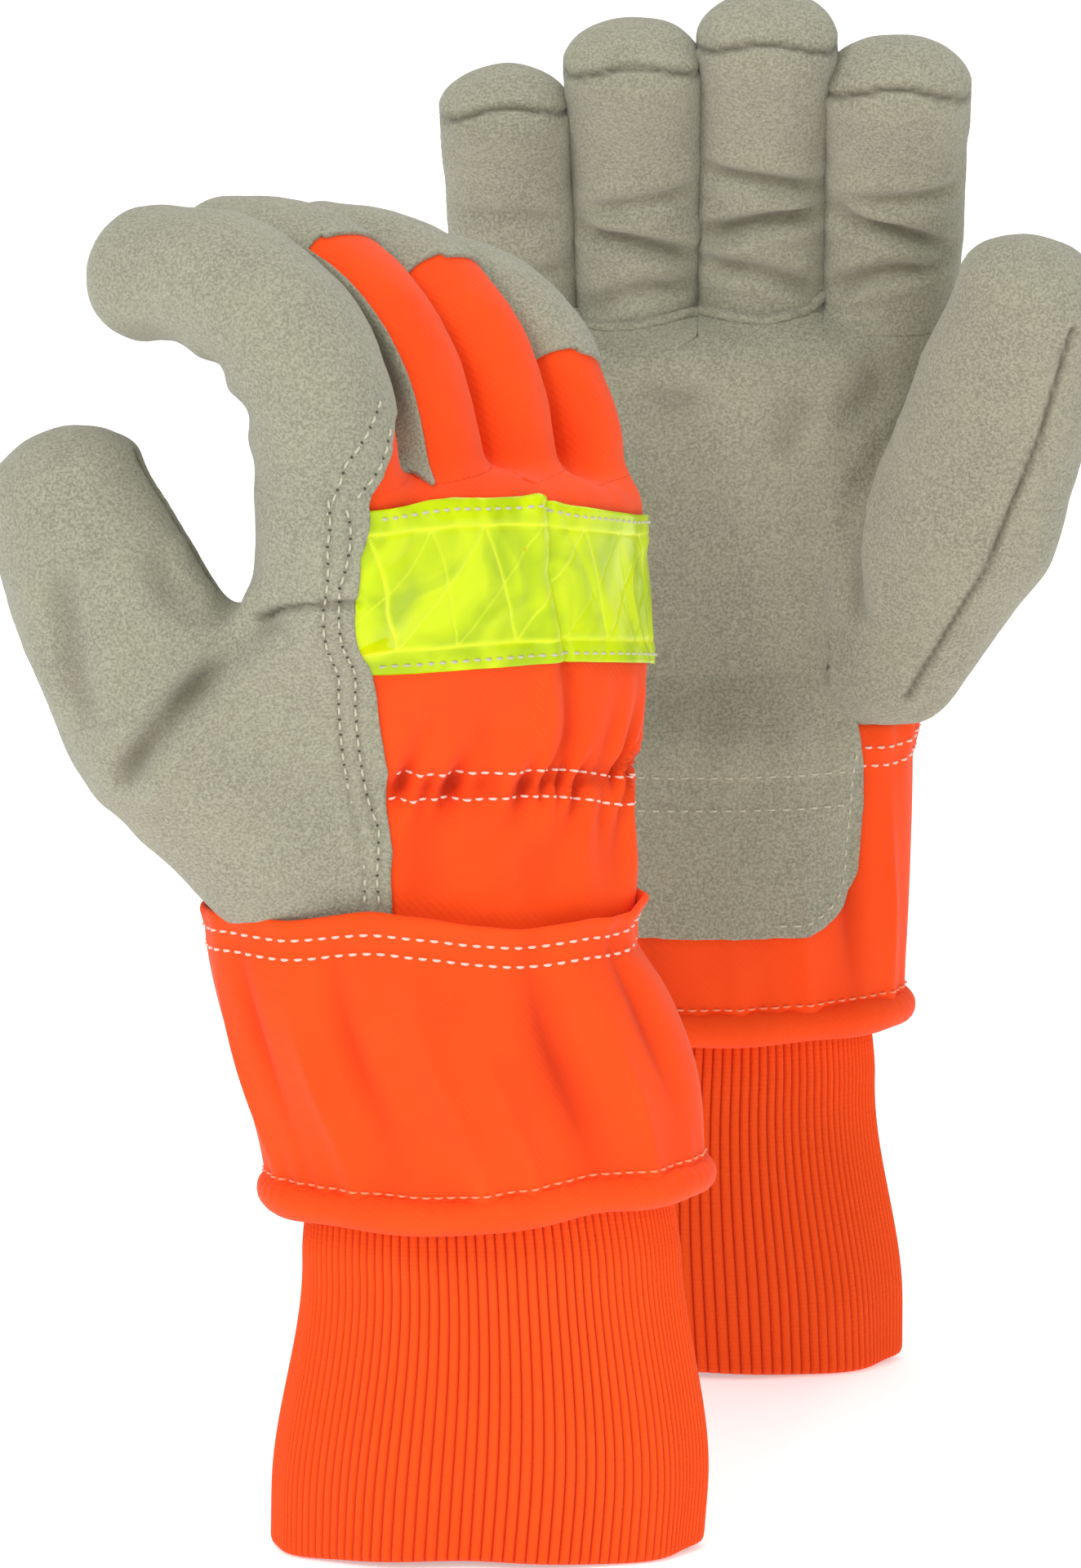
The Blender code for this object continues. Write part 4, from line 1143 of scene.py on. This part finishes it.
# Finger stalls and thumb: lined tubes of the same suede. The index and the thumb are leather all
# round; the other three have a cloth back and a suede cap turned over the tip, with an inseam
# down each side.
CAP_START = {"near": {"middle": 0.65, "ring": 0.61, "little": 0.42},
             "far": {"middle": 0.74, "ring": 0.74, "little": 0.70}}
for name, glove in gloves.items():
    for finger in FINGERS:
        stall = glove.stalls[finger]
        low = stall.path[1:].min(0) - 22.0
        high = stall.path[1:].max(0) + 22.0
        verts, faces = glove_skin(glove, low, high, (finger,))
        number = FINGERS.index(finger)
        _, _, along, apart = finger_reach(glove, verts)
        others = np.delete(apart, number, 1).min(1)
        mine = np.maximum(others - apart[:, number], along[:, number] - 26.0)
        on_tube = 4.0 - np.abs(stall.distance(verts))
        own = np.minimum(np.minimum(along[:, number] - FINGER_CUT + 0.3, mine), on_tube + 6.0)
        _, travel, angle = stall.measure(verts)
        if finger == "index":
            edge = np.interp(travel, (4.0, 8.0, 15.0, 21.0, 26.0), (60, 70, 96, 112, 190))
            leather = np.where((angle < -90.0) | (travel > 27.0), 9.0,
                               np.radians(edge - angle) * 15.0)
            leather = np.minimum(leather, 9.0)
        else:
            half = np.where((angle < 90.0) & (name == "near") & (finger == "middle"), 44.0, 78.0)
            girth = np.radians(np.abs(angle - 90.0) - half)
            girth = np.where(np.abs(angle - 90.0) > 180.0, 2.0, girth) * 13.0
            cap = travel - stall.reach * CAP_START[name][finger] \
                - 2.0 * np.sin(np.radians(angle * 2.0))
            leather = np.maximum(girth, cap)
        piece = finish_panel(f"{name}_{finger}_cloth_back", glove, verts, faces,
                             np.minimum(own, 4.0 - leather), cloth, CLOTH_THICK, 0.0,
                             (finger,))
        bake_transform(piece)
        if finger != "index":
            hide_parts(f"{name}_{finger}_back")
        piece = finish_panel(f"{name}_{finger}_leather", glove, verts, faces,
                             np.minimum(own, leather), suede, LEATHER_THICK, LEATHER_LIFT,
                             (finger,))
        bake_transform(piece)
        covered = ("front", "back") if finger == "index" else ("front", "tip")
        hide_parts(*[f"{name}_{finger}_{part}" for part in covered])
    thumb = glove.stalls["thumb"]
    low = thumb.path[1:].min(0) - 26.0
    high = thumb.path[1:].max(0) + 26.0
    verts, faces = glove_skin(glove, low, high, ("thumb",))
    own = thumb_share(glove, verts) + 0.3
    piece = finish_panel(f"{name}_thumb_leather", glove, verts, faces, own, suede,
                         LEATHER_THICK, LEATHER_LIFT, ("thumb",))
    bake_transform(piece)
    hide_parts(f"{name}_thumb_front", f"{name}_thumb_back")


# Reflective tape: 38 mm prismatic PVC tape over the knuckles, fluorescent yellow-green under a
# clear glossy skin. Welded lines border it and cross it in long diamonds. It is stiff, so it
# buckles into sharp ripples where the cloth gathers, and goes under the leather saddle.
TAPE_TOP = ((34, 40, 65, 90, 102, 135, 172), (98, 98.5, 99.8, 99, 96.4, 91.5, 88))
TAPE_LOW = ((34, 52, 80, 107, 135, 172), (59.5, 60.2, 60.7, 60.4, 57.5, 54.0))
TAPE_END = 170.0
TAPE_WIDTH = 38.0
TAPE_BORDER = 5.5
TAPE_ROWS, TAPE_COLUMNS = 57, 361

tape_skin, tree, shader = new_material("fluorescent prismatic PVC tape", "#CBEF10", 0.16,
                                       Coat_Weight=0.3, Coat_Roughness=0.04,
                                       Specular_IOR_Level=0.1)
# the prisms read as a soft change of yellow and green in patches of about 10 mm
place = add_node(tree, "ShaderNodeTexCoord").outputs["Object"]
prisms = add_node(tree, "ShaderNodeTexNoise", {"Scale": 60.0, "Detail": 2.0, "Distortion": 0.8},
                  {"Vector": place})
patches = add_node(tree, "ShaderNodeMapRange", {"From Min": 0.38, "From Max": 0.62},
                   {"Value": prisms.outputs["Fac"]})
shade = mix_colours(tree, patches.outputs["Result"], "#AECB00", "#D2E800")
line_shade = mix_colours(tree, marked(tree, "weld"), shade, "#E8F62A")
tree.links.new(line_shade, shader.inputs["Base Color"])


for name, glove in gloves.items():
    share, around = np.meshgrid(np.linspace(0.0, 1.0, TAPE_ROWS),
                                np.linspace(0.0, 1.0, TAPE_COLUMNS), indexing="ij")
    share, around = share.ravel(), around.ravel()
    start = np.interp(60.5 + 38.5 * share, *SADDLE_EDGE) - 5.0
    angle = start + (TAPE_END - start) * around
    rise = np.interp(angle, *TAPE_LOW) * (1.0 - share) + np.interp(angle, *TAPE_TOP) * share
    settled, direction = glove.on_skin(LIP_HEIGHT + rise, angle)
    along = (angle - 40.0) * 0.78
    ripple_phase = along / 7.5 + 1.2 * np.sin(share * 5.0 + along / 15.0)
    ripple = 0.55 * np.abs(np.sin(ripple_phase * 1.7)) ** 0.7 * np.sin(ripple_phase * 0.9 + 1.0)
    ripple = ripple * (0.35 + 0.65 * np.sin(math.pi * share))
    across = share * TAPE_WIDTH
    far_border = TAPE_WIDTH - TAPE_BORDER
    border = np.minimum(np.abs(across - TAPE_BORDER), np.abs(across - far_border))
    zigzag = np.abs(((along / 26.0) % 1.0) * 2.0 - 1.0) * (far_border - TAPE_BORDER)
    diamond = np.minimum(np.abs(TAPE_BORDER + zigzag - across),
                         np.abs(far_border - zigzag - across) + 0.35)
    weld = np.exp(-(border / 0.55) ** 2) + np.exp(-(diamond / 0.7) ** 2) \
        * ((across > TAPE_BORDER) & (across < far_border))
    rise = glove.coordinates(settled)[0] - LIP_HEIGHT
    past = angle - np.interp(rise, *PLEAT)
    pleat = 1.7 * np.exp(-((past + 3.2) / 3.2) ** 2) - 1.3 * np.exp(-((past - 1.8) / 1.5) ** 2)
    tucked = ease((angle - start) / 12.0)
    crest = relief(glove, settled) * (1.0 - 0.6 * tucked)
    raised = 0.5 + crest + (0.5 + ripple * 1.4 + pleat * 0.9) * tucked - 0.3 * weld
    verts = settled + direction * raised[:, None]
    piece = make_piece(f"{name}_prismatic_tape", verts,
                       closed_rows(TAPE_ROWS, TAPE_COLUMNS, False), tape_skin, 0.5)
    piece.modifiers["thickness"].offset = 1.0
    mark_points(piece, "weld", weld)
    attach(piece, f"{name}_hand")
    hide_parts(f"{name}_reflective_tape")
    rows = []
    keep = slice(20, TAPE_COLUMNS - 4)
    grid = verts.reshape(TAPE_ROWS, TAPE_COLUMNS, 3)
    for share_at in (0.055, 0.945):
        level = share_at * (TAPE_ROWS - 1.0)
        low = int(level)
        mix = level - low
        line = grid[low] * (1.0 - mix) + grid[low + 1] * mix
        outward = direction.reshape(TAPE_ROWS, TAPE_COLUMNS, 3)[low]
        rows.append((line[keep] + outward[keep] * 0.45, outward[keep]))
    piece = sew_rows(f"{name}_tape_stitches", rows, beige_thread, pitch=3.0, length=2.5)
    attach(piece, f"{name}_hand")


# Pulse patch: one more piece of suede that runs from the palm down over the cuff, with round
# lower corners. It is sewn along the cuff's lip by two rows and round its own edge by one.
PATCH_LOW = 111.0
PATCH_TOP = 184.0
PATCH_HALF = 39.0
PATCH_CORNER = 17.0
PATCH_ROWS, PATCH_COLUMNS = 84, 92
PATCH_MIDDLE = {"near": 90.0, "far": 270.0}


def patch_spots(name, across, height):
    """Points on the patch from the distance across it and the height."""
    glove = gloves[name]
    angle = PATCH_MIDDLE[name] + (-1.0 if name == "near" else 1.0) \
        * np.degrees(np.arcsin(np.clip(across / 52.0, -0.98, 0.98)))
    on_cuff = cuff_points(name, angle, np.minimum(height, 160.0), 1.9)
    on_cuff[:, 2] = height
    settled, direction = glove.settle(glove.settle(glove.settle(on_cuff)[0])[0])
    on_hand = settled + direction * (relief(glove, settled) + LEATHER_LIFT + 0.35)[:, None]
    share = ease((height - 158.0) / 18.0)[:, None]
    sink = ease((height - 168.0) / 15.0) * 1.6
    mixed = on_cuff * (1.0 - share) + on_hand * share - direction * sink[:, None]
    lumps = 0.5 * drift(mixed, 12.0, 8.0) * (1.0 - share[:, 0])
    ridge = 0.5 * np.exp(-((height - 152.5) / 2.0) ** 2)
    outward = mixed - np.append(cuff_centres[name], 0.0)
    outward = outward * (0.3, 1.0, 0.0)
    outward /= np.linalg.norm(outward, axis=1)[:, None]
    return mixed + outward * (lumps + ridge)[:, None], outward


def patch_inside(across, height):
    """Distance inside the patch's outline, with its rounded lower corners."""
    narrow = 3.5 * np.clip((height - 150.0) / 14.0, 0.0, 1.0)
    over = np.abs(across) - (PATCH_HALF - narrow - PATCH_CORNER)
    under = (PATCH_LOW + PATCH_CORNER) - height
    corner = np.hypot(np.maximum(over, 0.0), np.maximum(under, 0.0))
    return PATCH_CORNER - np.where((over > 0.0) & (under > 0.0), corner,
                                   np.maximum(over, under))


for name, glove in gloves.items():
    across, height = np.meshgrid(np.linspace(-42.0, 42.0, PATCH_COLUMNS),
                                 np.linspace(109.0, PATCH_TOP, PATCH_ROWS))
    across, height = across.ravel(), height.ravel()
    inside = patch_inside(across, height) + 0.35 * drift(np.stack([across, height, height], 1),
                                                         3.0, 2.0)
    spots, _ = patch_spots(name, across, height)
    verts, faces = cut_net(spots, closed_rows(PATCH_ROWS, PATCH_COLUMNS, False), inside)
    if name == "near":
        faces = [face[::-1] for face in faces]
    piece = make_piece(f"{name}_pulse_patch_suede", verts, faces, suede, LEATHER_THICK)
    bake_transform(piece)
    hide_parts(f"{name}_pulse_patch")
    turn = np.linspace(-math.pi / 2.0, 0.0, 12)
    inset = 3.0
    reach = PATCH_CORNER - inset
    right_across = np.concatenate([np.full(12, PATCH_HALF - inset),
                                   PATCH_HALF - PATCH_CORNER + reach * np.cos(turn[::-1])])
    right_height = np.concatenate([np.linspace(156.0, PATCH_LOW + PATCH_CORNER, 12),
                                   PATCH_LOW + PATCH_CORNER + reach * np.sin(turn[::-1])])
    line_across = np.concatenate([right_across, -right_across[::-1]])
    line_height = np.concatenate([right_height, right_height[::-1]])
    rows = []
    for line_a, line_h in ((line_across, line_height),
                           (np.linspace(-34.0, 35.0, 50), np.full(50, 150.8)),
                           (np.linspace(-34.0, 35.0, 50), np.full(50, 142.6))):
        rows.append(patch_spots(name, line_a, line_h))
    piece = sew_rows(f"{name}_patch_stitches", rows, beige_thread, pitch=3.4, length=2.3,
                     radius=0.3)
    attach(piece, f"{name}_cuff")


# Finger welt: the raw edges of the palm and of the two middle finger fronts, caught together in
# one seam. A narrow strip of suede stands up there, with a rough edge.
WELT_SIDES = 12
for name, glove in gloves.items():
    line = []
    for finger, angles, travels in (("ring", (-158, -140, -112, -80, -48), (15, 11, 10.5, 12, 14)),
                                    ("middle", (-140, -112, -85, -50, -18), (12, 11, 11, 14, 18))):
        line.append(stall_line(glove.stalls[finger], travels, np.array(angles, float)))
    line = np.vstack(line)
    travel = np.concatenate([[0], np.cumsum(np.linalg.norm(np.diff(line, axis=0), axis=1))])
    places = np.linspace(0.0, travel[-1], 300)
    line = np.stack([np.interp(places, travel, line[:, k]) for k in range(3)], 1)
    kernel = np.ones(15) / 15.0
    padded_line = np.vstack([np.repeat(line[:1], 7, 0), line, np.repeat(line[-1:], 7, 0)])
    line = np.stack([np.convolve(padded_line[:, k], kernel, "valid") for k in range(3)], 1)
    spots, outward = glove.settle(line, FINGERS)
    ahead = np.gradient(spots, axis=0)
    ahead /= np.linalg.norm(ahead, axis=1)[:, None]
    side = np.cross(ahead, outward)
    rows = []
    for step in range(WELT_SIDES):
        turn = step / WELT_SIDES * 2.0 * math.pi
        rough = 1.0 + 0.35 * drift(spots + (0, 0, step * 3.0), 1.6, 4.0)
        rows.append(spots + outward * (1.3 + 1.3 * math.cos(turn) * rough)[:, None]
                    + side * (1.25 * math.sin(turn) * rough)[:, None])
    verts = np.stack(rows, 1).reshape(-1, 3)
    faces = closed_rows(len(spots), WELT_SIDES)
    faces.append(tuple(range(WELT_SIDES - 1, -1, -1)))
    faces.append(tuple((len(spots) - 1) * WELT_SIDES + step for step in range(WELT_SIDES)))
    piece = make_piece(f"{name}_finger_welt_frayed", verts, faces, suede)
    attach(piece, f"{name}_hand")
    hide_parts(f"{name}_finger_welt")


# Hand stitching: two rows of thread hold the saddle to the cloth back, and two rows hold the
# elastic behind it.
for name, glove in gloves.items():
    lower, upper = [], []
    for rises, angles in SADDLE_ROWS:
        rise = np.linspace(rises[0], rises[-1], 120)
        angle = np.interp(rise, rises, angles)
        plain, _ = glove.on_skin(LIP_HEIGHT + rise, angle)
        lower.append(dress(glove, plain, FINGERS, LEATHER_LIFT + 0.15
                           + tape_lift(glove, LIP_HEIGHT + rise, angle)))
    piece = sew_rows(f"{name}_saddle_stitches", lower, beige_thread, pitch=4.0, length=2.5,
                     radius=0.33)
    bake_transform(piece)
    piece = sew_rows(f"{name}_saddle_needle_holes", [needle_holes(*row, 4.0) for row in lower],
                     painted_hole_shade, pitch=4.0, length=1.0, radius=0.42)
    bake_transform(piece)
    for shift in (3.0, -3.0):
        angle = np.linspace(72.0, 176.0, 160)
        rise = ELASTIC_RISE + shift - 5.5 * ease((angle - 110.0) / 60.0)
        plain, _ = glove.on_skin(LIP_HEIGHT + rise, angle)
        upper.append(dress(glove, plain, FINGERS, 0.1))
    piece = sew_rows(f"{name}_elastic_stitches", upper, white_thread, pitch=3.2, length=2.5,
                     radius=0.36)
    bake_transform(piece)
    # the same two rows run on over the base of the index finger
    stall = glove.stalls["index"]
    rows = []
    for travels, angles in (((4, 10, 16, 26), (32, 42, 52, 98)), ((8, 14, 21), (55, 82, 103))):
        travel = np.linspace(travels[0], travels[-1], 40)
        plain = stall_line(stall, travel, np.interp(travel, travels, angles))
        rows.append(dress(glove, plain, ("index",), LEATHER_LIFT + 0.1))
    start = (stall.hinge + stall.heading * FINGER_CUT) * MM
    for part, thread, sewn, size in (
            ("stitches", beige_thread, rows, {"length": 2.5, "radius": 0.33}),
            ("needle_holes", painted_hole_shade, [needle_holes(*row, 4.0) for row in rows],
             {"length": 1.0, "radius": 0.42})):
        piece = sew_rows(f"{name}_index_{part}", sewn, thread, pitch=4.0, **size)
        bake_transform(piece)


# Floor and backdrop: a wide sheet of white paper, with broad soft lights and the camera.
paper, _, _ = new_material("white backdrop paper", "#FFFFFF", 0.95,
                           Emission_Color=(1.0, 1.0, 1.0, 1.0), Emission_Strength=0.41)
floor_data = bpy.data.meshes.new("paper_floor")
floor_data.from_pydata([(-30, -30, 0), (30, -30, 0), (30, 30, 0), (-30, 30, 0)], [],
                       [(0, 1, 2, 3)])
floor_data.materials.append(paper)
floor = bpy.data.objects.new("paper_floor", floor_data)
bpy.context.collection.objects.link(floor)

for name, spot, size, power in (("key", (-1.1, -1.7, 1.9), 0.9, 27.0),
                                ("fill", (1.9, -1.6, 0.9), 1.6, 9.0),
                                ("top", (0.1, 0.2, 2.2), 1.1, 13.0),
                                ("spark", (-0.5, -2.2, 1.0), 0.14, 5.0),
                                ("rim", (0.9, 1.5, 1.2), 1.0, 4.0)):
    lamp_data = bpy.data.lights.new(name, "AREA")
    lamp_data.size = size
    lamp_data.energy = power
    lamp = bpy.data.objects.new(name, lamp_data)
    lamp.location = spot
    lamp.rotation_euler = (Vector((0.0, 0.0, 0.16)) - Vector(spot)).to_track_quat("-Z", "Y") \
        .to_euler()
    bpy.context.collection.objects.link(lamp)

world = bpy.data.worlds.new("white studio")
world.use_nodes = True
world.node_tree.nodes["Background"].inputs["Color"].default_value = (1.0, 1.0, 1.0, 1.0)
world.node_tree.nodes["Background"].inputs["Strength"].default_value = 0.44
bpy.context.scene.world = world
bpy.context.scene.view_settings.view_transform = "Standard"

camera_data = bpy.data.cameras.new("camera")
camera_data.lens = 491.2
camera_data.sensor_width = 36.0
camera_data.clip_end = 60.0
camera = bpy.data.objects.new("camera", camera_data)
camera.location = (-0.0026, -4.8952, 1.3409)
camera.rotation_euler = (math.radians(76.5), 0.0, 0.0)
bpy.context.collection.objects.link(camera)
bpy.context.scene.camera = camera
